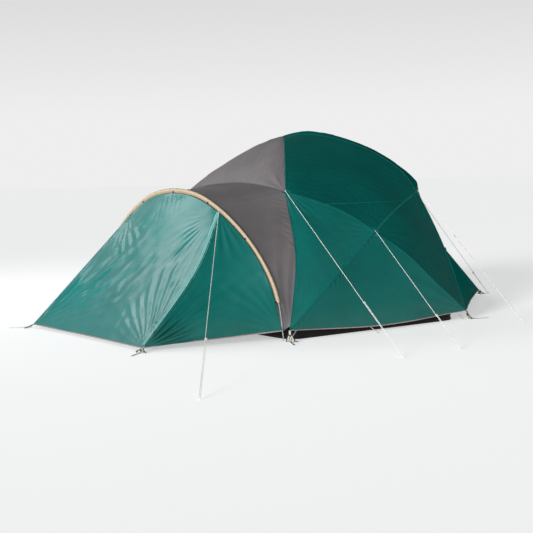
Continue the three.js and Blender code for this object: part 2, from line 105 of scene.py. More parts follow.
def smooth_line(points):
    """A centripetal Catmull-Rom line. Its parameter runs from 0 to 1, evenly by control point."""
    knots = np.array(points, float)
    knots = np.vstack([2 * knots[0] - knots[1], knots, 2 * knots[-1] - knots[-2]])
    spans = np.sqrt(np.linalg.norm(np.diff(knots, axis=0), axis=1))
    last = len(points) - 1

    def at(t):
        s = np.clip(np.atleast_1d(t), 0, 1) * last
        i = np.minimum(s.astype(int), last - 1)
        w = (s - i)[:, None]
        p0, p1, p2, p3 = (knots[i + k] for k in range(4))
        d0, d1, d2 = (spans[i + k][:, None] for k in range(3))
        t1 = ((p1 - p0) / d0 - (p2 - p0) / (d0 + d1) + (p2 - p1) / d1) * d1
        t2 = ((p2 - p1) / d1 - (p3 - p1) / (d1 + d2) + (p3 - p2) / d2) * d1
        return (p1 + t1 * w + (-3 * p1 + 3 * p2 - 2 * t1 - t2) * w ** 2
                + (2 * p1 - 2 * p2 + t1 + t2) * w ** 3)

    at.last = last
    return at


def mirror(line):
    return lambda t: line(t) * SIDE


def span(line, start, end):
    """The stretch of a line between two of its control points."""
    return lambda t: line((start + (end - start) * np.atleast_1d(t)) / line.last)


def reverse(line):
    return lambda t: line(1 - np.atleast_1d(t))


def whole(half, crown):
    """All points of a hoop, from those of its left half and its crown."""
    return [*half, crown, *[far(p) for p in half[::-1]]]


DIAGONAL_POINTS = [
    FRONT_CORNER, (-0.99, -1.555, 0.75), FRONT_NODE, (-0.403, -0.599, 1.7), (-0.145, -0.234, 1.917),
    APEX, (0.228, 0.269, 2.006), (0.578, 0.724, 1.84), (0.812, 1.03, 1.591), far(REAR_NODE),
    far(REAR_CLIP), far(REAR_CORNER)]
FRONT_HOOP_HALF = [
    REAR_CORNER, (0.736, -1.679, 0.4), (0.368, -1.629, 0.724), SIDE_NODE, (-0.266, -1.355, 1.199),
    FRONT_NODE]
REAR_HOOP_HALF = [
    FRONT_CORNER, (-0.74, -1.69, 0.47), (-0.342, -1.612, 0.731), SIDE_NODE, (0.311, -1.431, 1.138),
    (0.586, -1.31, 1.245), REAR_NODE, (1.12, -0.9, 1.49)]
ARCH_HALF = [
    (-1.185, -1.6, 0.009), (-1.274, -1.65, 0.4), (-1.32, -1.615, 0.6), (-1.36, -1.48, 0.824),
    (-1.382, -1.26, 1.025), (-1.392, -0.905, 1.236), (-1.398, -0.48, 1.395)]

FRONT_CROWN = (-0.64, 0, 1.5)
REAR_CROWN = (1.24, 0, 1.6)
ARCH_CROWN = (-1.4, 0, 1.447)

OTHER_DIAGONAL_POINTS = [far(p) for p in DIAGONAL_POINTS]
FRONT_HOOP_POINTS = whole(FRONT_HOOP_HALF, FRONT_CROWN)
REAR_HOOP_POINTS = whole(REAR_HOOP_HALF, REAR_CROWN)
ARCH_POINTS = whole(ARCH_HALF, ARCH_CROWN)

diagonal = smooth_line(DIAGONAL_POINTS)
other_diagonal = smooth_line(OTHER_DIAGONAL_POINTS)
front_hoop = smooth_line(FRONT_HOOP_POINTS)
rear_hoop = smooth_line(REAR_HOOP_POINTS)
arch = smooth_line(ARCH_POINTS)

# Seam pieces of the left half, between the points where seam lines cross.
CORNER_TO_FRONT_NODE = span(diagonal, 0, 2)
FRONT_NODE_TO_APEX = span(diagonal, 2, 5)
APEX_TO_REAR_NODE = span(other_diagonal, 5, 9)
REAR_NODE_TO_CLIP = span(other_diagonal, 9, 10)
CLIP_TO_REAR_CORNER = span(other_diagonal, 10, 11)
REAR_NODE_TO_CORNER = span(other_diagonal, 9, 11)
REAR_CORNER_TO_SIDE_NODE = span(front_hoop, 0, 3)
SIDE_NODE_TO_FRONT_NODE = span(front_hoop, 3, 5)
OVER_FRONT = span(front_hoop, 5, 7)
FRONT_CORNER_TO_SIDE_NODE = span(rear_hoop, 0, 3)
SIDE_NODE_TO_REAR_NODE = span(rear_hoop, 3, 6)
OVER_REAR = span(rear_hoop, 6, 10)


# ---- Materials ----
def srgb(r, g, b):
    """A colour given as 0 to 255 display values, as the linear values that shaders take."""
    return tuple(((c / 255 + 0.055) / 1.055) ** 2.4 if c > 10 else c / 255 / 12.92 for c in (r, g, b)) + (1,)


def tone(colour, factor):
    return tuple(c * factor for c in colour[:3]) + (1,)


MATERIALS = {}


class Nodes:
    """Short words for building the nodes of a material or of the sky."""

    def __init__(self, owner):
        owner.use_nodes = True
        self.tree = owner.node_tree
        self.shader = self.tree.nodes.get("Principled BSDF")

    def feed(self, socket, value):
        """Links a node's output to a socket, or sets the socket's own value."""
        if isinstance(value, bpy.types.NodeSocket):
            self.tree.links.new(value, socket)
        else:
            socket.default_value = value

    def add(self, kind, **values):
        """A node with its inputs fed, and its other settings set, by name."""
        node = self.tree.nodes.new(kind)
        for key, value in values.items():
            if key in node.inputs:
                self.feed(node.inputs[key], value)
            else:
                setattr(node, key, value)
        return node

    def shade(self, **values):
        """Feeds the shader's own sockets; an underscore stands for a space."""
        for key, value in values.items():
            self.feed(self.shader.inputs[key.replace("_", " ")], value)

    def place(self, kind="Object"):
        return self.add("ShaderNodeTexCoord").outputs[kind]

    def axes(self, place):
        return self.add("ShaderNodeSeparateXYZ", Vector=place).outputs

    def noise(self, scale, detail=3.0, roughness=0.55):
        return self.add("ShaderNodeTexNoise", Vector=self.place(), Scale=scale, Detail=detail,
                        Roughness=roughness).outputs["Fac"]

    def bands(self, scale, direction):
        return self.add("ShaderNodeTexWave", Vector=self.place("UV"), Scale=scale, wave_type="BANDS",
                        bands_direction=direction).outputs["Fac"]

    def math(self, operation, *values):
        node = self.add("ShaderNodeMath", operation=operation)
        for socket, value in zip(node.inputs, values):
            self.feed(socket, value)
        return node.outputs[0]

    def spread(self, factor, low, high, low_at=0.0, high_at=1.0):
        limits = {"To Min": low, "To Max": high, "From Min": low_at, "From Max": high_at}
        return self.add("ShaderNodeMapRange", Value=factor, **limits).outputs["Result"]

    def ramp(self, factor, low, high, low_at=0.3, high_at=0.7):
        node = self.add("ShaderNodeValToRGB", Fac=factor)
        for element, position, colour in zip(node.color_ramp.elements, (low_at, high_at), (low, high)):
            element.position = position
            element.color = colour
        return node.outputs["Color"]

    def blend(self, factor, first, second):
        node = self.add("ShaderNodeMix", data_type="RGBA", Factor=factor)
        self.feed(node.inputs[6], first)
        self.feed(node.inputs[7], second)
        return node.outputs[2]

    def bump(self, height, strength, distance, under=None):
        node = self.add("ShaderNodeBump", Height=height, Strength=strength, Distance=distance)
        if under is not None:
            self.feed(node.inputs["Normal"], under)
        return node.outputs["Normal"]


def material_nodes(name):
    MATERIALS[name] = bpy.data.materials.new(name)
    return Nodes(MATERIALS[name])


DUST = srgb(150, 146, 134)
THREADS_PER_METRE = 900


def cloth(name, colour, roughness, specular=0.2, dust=0.12, crinkle=0.16):
    """Coated woven cloth: a fine weave, clouded colour, and a little dust near the ground."""
    n = material_nodes(name)
    body = n.ramp(n.noise(2.2, 5), tone(colour, 0.9), tone(colour, 1.1))
    low = n.spread(n.axes(n.place())["Z"], dust, 0.0, 0.02, 0.3)
    weave = n.math("ADD", n.bands(THREADS_PER_METRE / 20, "X"), n.bands(THREADS_PER_METRE / 20, "Y"))
    n.shade(
        Base_Color=n.blend(n.math("MULTIPLY", low, n.noise(14, 6)), body, DUST),
        Roughness=n.spread(n.noise(9, 4), roughness - 0.07, roughness + 0.07),
        Normal=n.bump(n.noise(38, 5, 0.6), crinkle, 0.004, n.bump(weave, 0.12, 0.0004)),
        Specular_IOR_Level=specular)


def tape(name, colour, stitch_colour, pitch=0.007):
    """Woven tape with two rows of stitches. UV runs across it in X and along it in Y, in metres."""
    n = material_nodes(name)
    place = n.axes(n.place("UV"))
    across = n.math("ABSOLUTE", n.math("SUBTRACT", place["X"], 0.5))
    row = n.math("LESS_THAN", n.math("ABSOLUTE", n.math("SUBTRACT", across, 0.32)), 0.05)
    dash = n.math("LESS_THAN", n.math("FRACT", n.math("DIVIDE", place["Y"], pitch)), 0.62)
    stitch = n.math("MULTIPLY", row, dash)
    body = n.ramp(n.noise(30, 4), tone(colour, 0.88), tone(colour, 1.1))
    n.shade(
        Base_Color=n.blend(stitch, body, stitch_colour),
        Normal=n.bump(n.bands(260.0, "Y"), 0.25, 0.0005, n.bump(stitch, 0.6, 0.0008)),
        Roughness=0.75,
        Specular_IOR_Level=0.1)


def metal(name, colour):
    n = material_nodes(name)
    n.shade(
        Base_Color=n.ramp(n.noise(60, 5), tone(colour, 0.8), tone(colour, 1.05)),
        Roughness=n.spread(n.noise(180, 4), 0.22, 0.42),
        Normal=n.bump(n.noise(420), 0.08, 0.0004),
        Metallic=1.0)


def plastic(name, colour):
    n = material_nodes(name)
    n.shade(
        Base_Color=n.ramp(n.noise(45, 4), tone(colour, 0.8), tone(colour, 1.1)),
        Normal=n.bump(n.noise(500, 2), 0.12, 0.0004),
        Roughness=0.45)


def braid(name, colour):
    """Braided cord: slanting strands, laid along the tube by its UV."""
    n = material_nodes(name)
    n.shade(
        Base_Color=n.ramp(n.noise(25, 4), tone(colour, 0.86), tone(colour, 1.05)),
        Normal=n.bump(n.math("ADD", n.bands(6.0, "DIAGONAL"), n.noise(900, 2)), 0.2, 0.0004),
        Roughness=0.8,
        Specular_IOR_Level=0.2,
        Sheen_Weight=0.1)


TEAL = srgb(7, 92, 86)
PAINTED_SHADE_TONE = 0.72               # the teal made darker: painted shade on the roof and the rear side panels
# the teal made paler: painted light on the front side panels
PAINTED_LIGHT_TONE = 1.14
LIGHT_TEAL = srgb(10, 114, 110)
GREY = srgb(106, 102, 104)

cloth("fly_teal", TEAL, 0.5, specular=0.13)
# a darker copy of the teal, whose colour paints shade onto the roof and the rear side panels
cloth("fly_teal_painted_shade", tone(TEAL, PAINTED_SHADE_TONE), 0.5, specular=0.04)
cloth("fly_teal_back", TEAL, 0.7, specular=0.0)
# a paler copy of the teal, whose colour paints light onto the front side panels
cloth("fly_teal_painted_light", tone(TEAL, PAINTED_LIGHT_TONE), 0.5, specular=0.16)
cloth("fly_light_teal", LIGHT_TEAL, 0.24, specular=0.8, dust=0.0, crinkle=0.12)
cloth("fly_grey", GREY, 0.5, specular=0.2)
cloth("inner_cloth", srgb(196, 192, 176), 0.8, dust=0.05)
cloth("groundsheet", srgb(9, 12, 12), 0.5, specular=0.12, dust=0.04, crinkle=0.5)
tape("seam_teal", tone(TEAL, 1.12), tone(TEAL, 1.9))
tape("seam_light_teal", tone(LIGHT_TEAL, 1.1), tone(LIGHT_TEAL, 1.7))
tape("seam_grey", tone(GREY, 0.92), tone(GREY, 1.4))
tape("hem_binding", srgb(158, 140, 138), srgb(196, 182, 176))
tape("sleeve", srgb(170, 150, 124), srgb(206, 192, 168), pitch=0.008)
tape("sleeve_edge", srgb(86, 72, 60), srgb(120, 104, 86))
tape("zip_tape", srgb(92, 164, 158), srgb(208, 224, 220))
tape("webbing", srgb(214, 212, 204), srgb(170, 168, 160))
tape("black_webbing", srgb(30, 30, 32), srgb(64, 64, 66))
metal("alloy", srgb(206, 208, 210))
plastic("black_plastic", srgb(20, 20, 22))
plastic("slider", srgb(222, 222, 218))
braid("guy_cord", srgb(236, 236, 232))
braid("black_cord", srgb(24, 24, 26))


# ---- Meshes ----
def add_object(name, vertices, faces, material, uvs, body=ROOT):
    """A smooth piece with one UV for each vertex, which rides on its body."""
    mesh = bpy.data.meshes.new(name)
    mesh.from_pydata([tuple(v) for v in np.asarray(vertices, float)], [], [tuple(f) for f in faces])
    layer = mesh.uv_layers.new(name="UVMap")
    loops = np.empty(len(mesh.loops), dtype=np.int32)
    mesh.loops.foreach_get("vertex_index", loops)
    layer.data.foreach_set("uv", np.asarray(uvs, np.float32)[loops].ravel())
    mesh.materials.append(MATERIALS[material])
    mesh.polygons.foreach_set("use_smooth", [True] * len(mesh.polygons))
    mesh.validate()
    made = add_to_scene(name, mesh)
    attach(made, body)
    return made


def unit(v):
    v = np.asarray(v, float)
    return v / np.maximum(np.linalg.norm(v, axis=-1, keepdims=True), 1e-9)


def steps(points, axis=0):
    """Distances between neighbours in a line or a grid of points."""
    return np.linalg.norm(np.diff(points, axis=axis), axis=-1)


def run_along(points):
    return np.concatenate([[0], np.cumsum(steps(points))])


def grid_faces(rows, columns, wrap=False):
    """Quads over a grid of vertices, row by row; wrap joins the last column to the first."""
    j, i = np.meshgrid(np.arange(rows - 1), np.arange(columns if wrap else columns - 1), indexing="ij")
    a, b = j * columns + i, j * columns + (i + 1) % columns
    return np.stack([a, b, b + columns, a + columns], -1).reshape(-1, 4)


def swept_mesh(points, first, second, section):
    """A closed section swept along a line with closed ends; first and second are its axes there."""
    points = np.asarray(points, float)
    section = np.asarray(section, float)
    if section.ndim == 2:
        section = np.broadcast_to(section, (len(points), *section.shape))
    rings = points[:, None] + section[..., :1] * first[:, None] + section[..., 1:] * second[:, None]
    sides = section.shape[1]
    vertices = np.vstack([rings.reshape(-1, 3), rings[0].mean(0)[None], rings[-1].mean(0)[None]])
    start, end = len(vertices) - 2, len(vertices) - 1
    base = (len(points) - 1) * sides
    faces = [tuple(f) for f in grid_faces(len(points), sides, wrap=True)]
    for k in range(sides):
        faces.append((start, (k + 1) % sides, k))
        faces.append((end, base + k, base + (k + 1) % sides))
    run = run_along(points)
    around = np.stack(np.meshgrid(np.arange(sides) / sides, run), -1).reshape(-1, 2)
    return vertices, faces, np.vstack([around, [[0, 0]], [[0, run[-1]]]])


def bend(x, power):
    return np.sign(x) * np.abs(x) ** power


def superellipse(turn, power):
    """Places round a square with soft corners; the lower the power, the squarer."""
    return bend(np.stack([np.cos(turn), np.sin(turn)], -1), power)


def circle(sides):
    return superellipse(np.arange(sides) / sides * 2 * math.pi, 1)


def tube_mesh(points, radius, sides=12):
    points = np.asarray(points, float)
    along = unit(np.gradient(points, axis=0))
    first = np.cross(along, UP)
    weak = np.linalg.norm(first, axis=1) < 0.05
    first[weak] = np.cross(along[weak], [1.0, 0.0, 0.0])
    first = unit(first)
    for k in range(1, len(first)):
        if first[k] @ first[k - 1] < 0:
            first[k] *= -1
    radii = np.broadcast_to(radius, len(points)).astype(float)
    return swept_mesh(points, first, np.cross(along, first), circle(sides)[None] * radii[:, None, None])


def strap_mesh(points, width, thickness, side):
    """Flat webbing along a line; side is the direction of its width."""
    points = np.asarray(points, float)
    along = unit(np.gradient(points, axis=0))
    side = unit(side - (along @ side)[:, None] * along)
    w, t = width / 2, thickness / 2
    section = [(-w, 0), (-w * 0.94, t), (0, t * 1.1), (w * 0.94, t), (w, 0), (w * 0.94, -t), (0, -t * 1.1),
               (-w * 0.94, -t)]
    return swept_mesh(points, side, np.cross(along, side), section)


def moulded_mesh(centre, axes, half, power=0.45):
    """A rounded block: a superellipsoid with its axes in the rows of axes."""
    rows, columns = 12, 20
    v = np.linspace(-math.pi / 2, math.pi / 2, rows + 1)
    u = np.linspace(0, 2 * math.pi, columns, endpoint=False)
    local = np.concatenate([
        bend(np.cos(v), power)[:, None, None] * superellipse(u, power)[None],
        np.broadcast_to(bend(np.sin(v), power)[:, None, None], (rows + 1, columns, 1))], -1)
    vertices = np.asarray(centre) + (local * half).reshape(-1, 3) @ np.asarray(axes, float)
    uvs = np.stack(np.meshgrid(u, v), -1).reshape(-1, 2) * 0.01
    return vertices, [tuple(f) for f in grid_faces(rows + 1, columns, wrap=True)], uvs


def joined_mesh(*parts):
    """One mesh out of several (vertices, faces, uvs)."""
    vertices, faces, uvs, base = [], [], [], 0
    for v, f, t in parts:
        vertices.append(v)
        uvs.append(t)
        faces.extend(tuple(int(k) + base for k in face) for face in f)
        base += len(v)
    return np.vstack(vertices), faces, np.vstack(uvs)


def add_mesh(name, mesh, material, **options):
    vertices, faces, uvs = mesh
    return add_object(name, vertices, faces, material, uvs, **options)


def even(line, samples=400):
    """The same line with its parameter running evenly along its length."""
    t = np.linspace(0, 1, samples)
    run = run_along(line(t))
    return lambda s: line(np.interp(np.atleast_1d(s), run / run[-1], t))


def smooth_points(points, step=0.003):
    """Points a step apart on a smooth line through a few chosen ones."""
    line = smooth_line(points)
    length = run_along(line(np.linspace(0, 1, 200)))[-1]
    return even(line)(np.linspace(0, 1, max(4, int(length / step))))


def bent_tube(points, radius, step=0.003):
    return tube_mesh(smooth_points(points, step), radius, 8)


def bent_strap(points, width, thickness, side):
    return strap_mesh(smooth_points(points), width, thickness, side)


def ring_mesh(centre, first, second, count=41):
    """A wire ring; first and second are directions in its plane."""
    turn = np.linspace(0, 2 * math.pi, count)[:, None]
    rim = centre + first * RING_RADIUS * np.cos(turn) + second * RING_RADIUS * np.sin(turn)
    return tube_mesh(rim, WIRE_RADIUS, 8)


# ---- Cloth panels ----
def coons(bottom, top, left, right):
    """A surface between four border lines; bottom and top run with u, left and right with v."""
    def at(u, v):
        b, t, l, r = bottom(u), top(u), left(v), right(v)
        b0, b1, t0, t1 = bottom(0)[0], bottom(1)[0], top(0)[0], top(1)[0]
        u, v = u[:, None], v[:, None]
        return ((1 - v) * b + v * t + (1 - u) * l + u * r
                - (1 - u) * (1 - v) * b0 - u * (1 - v) * b1 - (1 - u) * v * t0 - u * v * t1)
    return at


def three_sided(base, left, right):
    tip = left(1)[0]
    return coons(base, lambda t: np.tile(tip, (len(np.atleast_1d(t)), 1)), left, right)


def ripple(seed, place, scale):
    """Smooth random values between about -1 and 1 over places in metres."""
    rng = np.random.default_rng(seed)
    total = np.zeros(place.shape[:-1])
    for k in range(7):
        wave = rng.normal(size=3) * scale * (1 + 0.35 * k)
        total += np.sin(place @ wave + rng.uniform(0, 6.3)) / (1 + 0.4 * k)
    return total / 3.2


def fan_relief(place, normal, seed, corner, toward, count, height, reach, spread=0.9):
    """Tension folds that fan out from a corner: how many per radian, how high and how far."""
    ahead = unit(toward - corner)
    sideways = unit(np.cross(unit(normal.reshape(-1, 3).mean(0)), ahead))
    away = place - corner
    angle = np.arctan2(away @ sideways, away @ ahead)
    wave = np.sin(count * angle + 3.2 * ripple(seed, place, 1.7) + seed)
    sharp = np.where(wave > 0, wave ** 2, -np.abs(wave) ** 0.8)
    along = np.linalg.norm(away, axis=-1) / reach
    envelope = along ** 2 * np.exp(2 - 2 * along) * np.exp(-(angle / spread) ** 2)
    patchy = np.clip(0.4 + 1.0 * ripple(seed + 7, place, 3.6), 0, 1.2)
    return height * sharp * envelope * patchy


def fan_pair(corner, toward, *size):
    """The same fan at a left corner and at its right twin."""
    return [(corner, toward, *size), (far(corner), far(toward), *size)]


DOME_POLES = ["pole_diagonal_left", "pole_diagonal_right", "pole_hoop_front", "pole_hoop_rear"]
CLOTH_THICKNESS = 0.0011
SEAM_WIDTH = 0.012
SEAM_RISE = 0.0013
SEAM_UNDER = -0.0004
NEAR_TIP = (0, 0.998)
FLAT_MARGIN = 0.05              # folds fade out this close to a seam
SLACK_WAVES, FINE_WAVES = 7.0, 26.0
GATHER_WAVES = 58.0             # short gathers beside the seams
GATHER_REACH = 0.10
PANELS = []


class Panel:
    """A cloth panel as a fine grid of places and normals, with its folds already in it.

    way is 1 1 1, or SIDE to mirror the surface and the fans. Only the borders in free aren't sewn.
    """

    def __init__(self, name, surface, columns, rows, seed, fans=(), way=1, sag=0.012, relief=0.0040,
                 pucker=0.020, inside=(0, 0, 0.5), free=(), u_range=(0.0, 1.0), v_range=(0.0, 1.0),
                 extra=None):
        self.name = name
        u, v = np.meshgrid(np.linspace(*u_range, columns + 1), np.linspace(*v_range, rows + 1))
        flat = surface(u.ravel(), v.ravel()).reshape(rows + 1, columns + 1, 3) * way
        normal = unit(np.cross(np.gradient(flat, axis=1), np.gradient(flat, axis=0)))
        if ((flat - np.array(inside)) * normal).sum() < 0:
            normal = -normal
        self.flat_area = self.area(flat)
        self.flat_size = self.size(flat)
        wide, tall = self.flat_size
        edges = {"left": u * wide, "right": (1 - u) * wide, "bottom": v * tall, "top": (1 - v) * tall}
        sewn = np.min([d for side, d in edges.items() if side not in free], axis=0)
        rise = np.clip(sewn / FLAT_MARGIN, 0, 1) ** 0.8
        height = relief * (ripple(seed, flat, SLACK_WAVES) + 0.4 * ripple(seed + 3, flat, FINE_WAVES))
        patches = np.clip(1.5 * ripple(seed + 5, flat, 5.0), 0, 1)
        gathers = np.clip(ripple(seed + 9, flat, GATHER_WAVES), -0.4, 0.4) * np.exp(-sewn / GATHER_REACH)
        height += pucker * patches * gathers
        for number, (corner, toward, *size) in enumerate(fans):
            height += fan_relief(
                flat, normal, seed + 11 * number, np.multiply(corner, way), np.multiply(toward, way), *size)
        if extra is not None:
            height += extra(u, v, flat)
        hollow = 16 * sag * u * (1 - u) * v * (1 - v)
        self.place = flat + normal * (height * rise - hollow)[..., None]
        fine = unit(np.cross(np.gradient(self.place, axis=1), np.gradient(self.place, axis=0)))
        self.normal = np.where((fine * normal).sum(-1, keepdims=True) < 0, -fine, fine)

    @staticmethod
    def area(grid):
        a = np.cross(grid[1:, 1:] - grid[:-1, :-1], grid[1:, :-1] - grid[:-1, 1:])
        return float(np.linalg.norm(a, axis=-1).sum() / 2)

    @staticmethod
    def size(grid):
        """The longest row and the longest column."""
        return float(steps(grid, 1).sum(1).max()), float(steps(grid).sum(0).max())

    def uvs(self):
        x = np.pad(np.cumsum(steps(self.place, 1), axis=1), ((0, 0), (1, 0)))
        y = np.pad(np.cumsum(steps(self.place), axis=0), ((1, 0), (0, 0)))
        return np.stack([x - x[:, -1:] / 2, y], -1).reshape(-1, 2)

    def build(self, material, body=ROOT, hangs_on=DOME_POLES, keep=None):
        rows, columns = self.place.shape[:2]
        faces = grid_faces(rows, columns)
        outward = np.cross(self.place[0, 1] - self.place[0, 0], self.place[1, 0] - self.place[0, 0])
        if outward @ self.normal[0, 0] < 0:
            faces = faces[:, ::-1]
        share = 1.0
        if keep is not None:
            cell_v, cell_u = np.divmod(np.arange(len(faces)), columns - 1)
            kept = keep(cell_u / (columns - 1), cell_v / (rows - 1))
            faces, share = faces[kept], kept.mean()
        made = add_object("cloth_" + self.name, self.place.reshape(-1, 3), faces, material, self.uvs(), body)
        thick = made.modifiers.new("thickness", "SOLIDIFY")
        thick.thickness = CLOTH_THICKNESS
        thick.offset = -1
        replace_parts(made, self.name)
        PANELS.append((self.place.reshape(-1, 3), faces))

    def band_rows(self, name, edge, inward, normal, width, material, raised=SEAM_RISE, body=ROOT):
        profile = [(0.0, SEAM_UNDER), (0.0, raised), (0.5, raised * 1.35), (1.0, raised), (1.0, SEAM_UNDER)]
        rows = [edge + inward * width * a + normal * h for a, h in profile]
        run = run_along(edge)
        uvs = np.vstack([np.stack([np.full_like(run, a), run], -1) for a, _ in profile])
        add_object(name, np.vstack(rows), grid_faces(len(profile), len(edge)), material, uvs, body)

    def band(self, side, width, material, raised=SEAM_RISE, start=0.0, end=1.0, body=ROOT, name=None):
        """A sewn band along one border, lying on the cloth."""
        grid, normal = self.place, self.normal
        edge, second, out = {
            "left": (grid[:, 0], grid[:, 2], normal[:, 1]),
            "right": (grid[:, -1], grid[:, -3], normal[:, -2]),
            "bottom": (grid[0], grid[2], normal[1]),
            "top": (grid[-1], grid[-3], normal[-2])}[side]
        keep = slice(int(start * (len(edge) - 1)), int(end * (len(edge) - 1)) + 1)
        edge, inward, out = edge[keep], unit(second - edge)[keep], out[keep]
        name = name or f"seam_{self.name}_{side}"
        self.band_rows(name, edge, inward, out, width, material, raised, body)

    def seams(self, sides, material="seam_teal", end=1.0):
        for side in sides.split():
            self.band(side, SEAM_WIDTH, material, end=end)

    def level_band(self, height):
        """A flat seam across the panel at one height above the ground."""
        edge, inward, out = [], [], []
        for i in range(self.place.shape[1]):
            z = self.place[:, i, 2]
            above = np.argmax(z > height)
            if above == 0:
                continue
            share = (height - z[above - 1]) / (z[above] - z[above - 1])
            step = self.place[above, i] - self.place[above - 1, i]
            edge.append(self.place[above - 1, i] + share * step)
            inward.append(unit(step))
            out.append(self.normal[above, i])
        lines = map(np.array, (edge, inward, out))
        self.band_rows(f"seam_{self.name}_level", *lines, SEAM_WIDTH, "seam_teal")


def triangle(name, base, left, right, columns, rows, **options):
    """A three-sided panel, whose rows stop just short of its tip."""
    return Panel(name, three_sided(base, left, right), columns, rows, v_range=NEAR_TIP, **options)


# ---- Fly ----
HEM_WIDTH = 0.010
ROOF_SEAM_HEIGHT = 1.27
SIDE_HEM = smooth_line([FRONT_CORNER, (0, -1.69, 0.052), REAR_CORNER])


def roof_panels():
    front_upper = triangle(
        "fly_front_upper", reverse(OVER_FRONT), mirror(FRONT_NODE_TO_APEX), FRONT_NODE_TO_APEX,
        140, 110, sag=0.014, seed=3, fans=fan_pair(FRONT_NODE, (-0.4, 0, 1.6), 18, 0.004, 0.25))
    front_upper.build("fly_grey")
    front_upper.seams("left right bottom", "seam_grey")

    for label, way in SIDES:
        roof = Panel(
            f"fly_roof_{label}",
            coons(reverse(SIDE_NODE_TO_FRONT_NODE), APEX_TO_REAR_NODE,
                  FRONT_NODE_TO_APEX, SIDE_NODE_TO_REAR_NODE),
            150, 130, seed=5, way=way,
            fans=[(FRONT_NODE, (0.3, -0.9, 1.5), 30, 0.004, 0.2),
                  (SIDE_NODE, (0.2, -0.8, 1.6), 24, 0.003, 0.2),
                  (REAR_NODE, (0.2, -0.8, 1.6), 26, 0.004, 0.2)])
        # the darker teal paints shade onto the roof
        roof.build("fly_teal_painted_shade")
        roof.seams("left right bottom top")
        roof.level_band(ROOF_SEAM_HEIGHT)

    rear_upper = triangle(
        "fly_rear_upper", OVER_REAR, reverse(APEX_TO_REAR_NODE), reverse(mirror(APEX_TO_REAR_NODE)),
        140, 110, seed=9, fans=fan_pair(REAR_NODE, (0.9, 0, 1.8), 24, 0.004, 0.25))
    rear_upper.build("fly_teal_back")
    rear_upper.seams("bottom")


def side_panels():
    for label, way in SIDES:
        front = triangle(
            f"fly_side_front_{label}", FRONT_CORNER_TO_SIDE_NODE, CORNER_TO_FRONT_NODE,
            SIDE_NODE_TO_FRONT_NODE, 130, 120, seed=11, way=way,
            fans=[(FRONT_NODE, (-0.6, -1.5, 0.7), 30, 0.004, 0.2),
                  (SIDE_NODE, (-0.6, -1.5, 1.0), 26, 0.003, 0.2),
                  (FRONT_CORNER, (-0.5, -1.4, 1.0), 26, 0.003, 0.3)])
        # the paler teal paints light onto the front side panels
        front.build("fly_teal_painted_light")
        front.seams("left right bottom")

        rear = triangle(
            f"fly_side_rear_{label}", reverse(REAR_CORNER_TO_SIDE_NODE), SIDE_NODE_TO_REAR_NODE,
            reverse(REAR_NODE_TO_CORNER), 130, 120, seed=13, way=way,
            fans=[(SIDE_NODE, (1.0, -1.5, 0.7), 26, 0.003, 0.2),
                  (REAR_NODE, (0.8, -1.5, 0.7), 26, 0.003, 0.25),
                  (REAR_CORNER, (0.8, -1.4, 0.9), 22, 0.003, 0.3)])
        # the darker teal paints shade onto the rear side panels
        rear.build("fly_teal_painted_shade")
        rear.seams("left right bottom")

        low = triangle(
            f"fly_side_low_{label}", SIDE_HEM, FRONT_CORNER_TO_SIDE_NODE, REAR_CORNER_TO_SIDE_NODE,
            150, 110, free=("bottom",), seed=17, way=way, relief=0.0024,
            fans=[(SIDE_NODE, (0, -1.7, 0.1), 26, 0.003, 0.2, 0.7),
                  (FRONT_CORNER, (0.2, -1.6, 0.4), 30, 0.005, 0.4),
                  (REAR_CORNER, (-0.2, -1.6, 0.4), 30, 0.005, 0.4)])
        low.build("fly_teal")
        low.seams("left right")
        low.band("bottom", HEM_WIDTH, "hem_binding")


WING_LINE = smooth_line([REAR_CLIP, (1.3, 0, 0.8), far(REAR_CLIP)])
WING_EDGE = smooth_line([REAR_CLIP, WING_TIP])
WING_HEM = smooth_line([REAR_CORNER, (2.02, -0.85, 0.095), WING_TIP])
WING_INSIDE = (1.5, 0, 0.15)
WING_BAND_END = 0.97


def rear_panels():
    lower = Panel(
        "fly_rear_lower",
        coons(WING_LINE, OVER_REAR, reverse(REAR_NODE_TO_CLIP), reverse(mirror(REAR_NODE_TO_CLIP))),
        150, 70, seed=19, fans=fan_pair(REAR_NODE, (1.2, 0, 1.1), 24, 0.004, 0.25))
    lower.build("fly_teal")
    lower.band("bottom", 1.5 * SEAM_WIDTH, "seam_teal")
    lower.seams("left right")

    for label, way in SIDES:
        wall = triangle(
            f"wing_side_{label}", reverse(CLIP_TO_REAR_CORNER), WING_HEM, WING_EDGE,
            70, 130, sag=0.01, free=("left",), inside=WING_INSIDE, seed=23, way=way,
            fans=[(WING_TIP, (1.2, -1.2, 0.4), 60, 0.004, 0.6, 0.5),
                  (REAR_CORNER, (2.0, -0.8, 0.3), 26, 0.004, 0.3)])
        wall.build("fly_teal_back")
        wall.band("left", HEM_WIDTH, "hem_binding", end=WING_BAND_END)
        wall.seams("right", end=WING_BAND_END)

    top = triangle(
        "wing_top", WING_LINE, WING_EDGE, mirror(WING_EDGE), 130, 130, sag=0.02, inside=WING_INSIDE,
        seed=29, fans=[(WING_TIP, (1.2, 0, 0.8), 34, 0.005, 0.6),
                       *fan_pair(REAR_CLIP, (1.9, 0, 0.5), 24, 0.004, 0.3)])
    top.build("fly_teal")


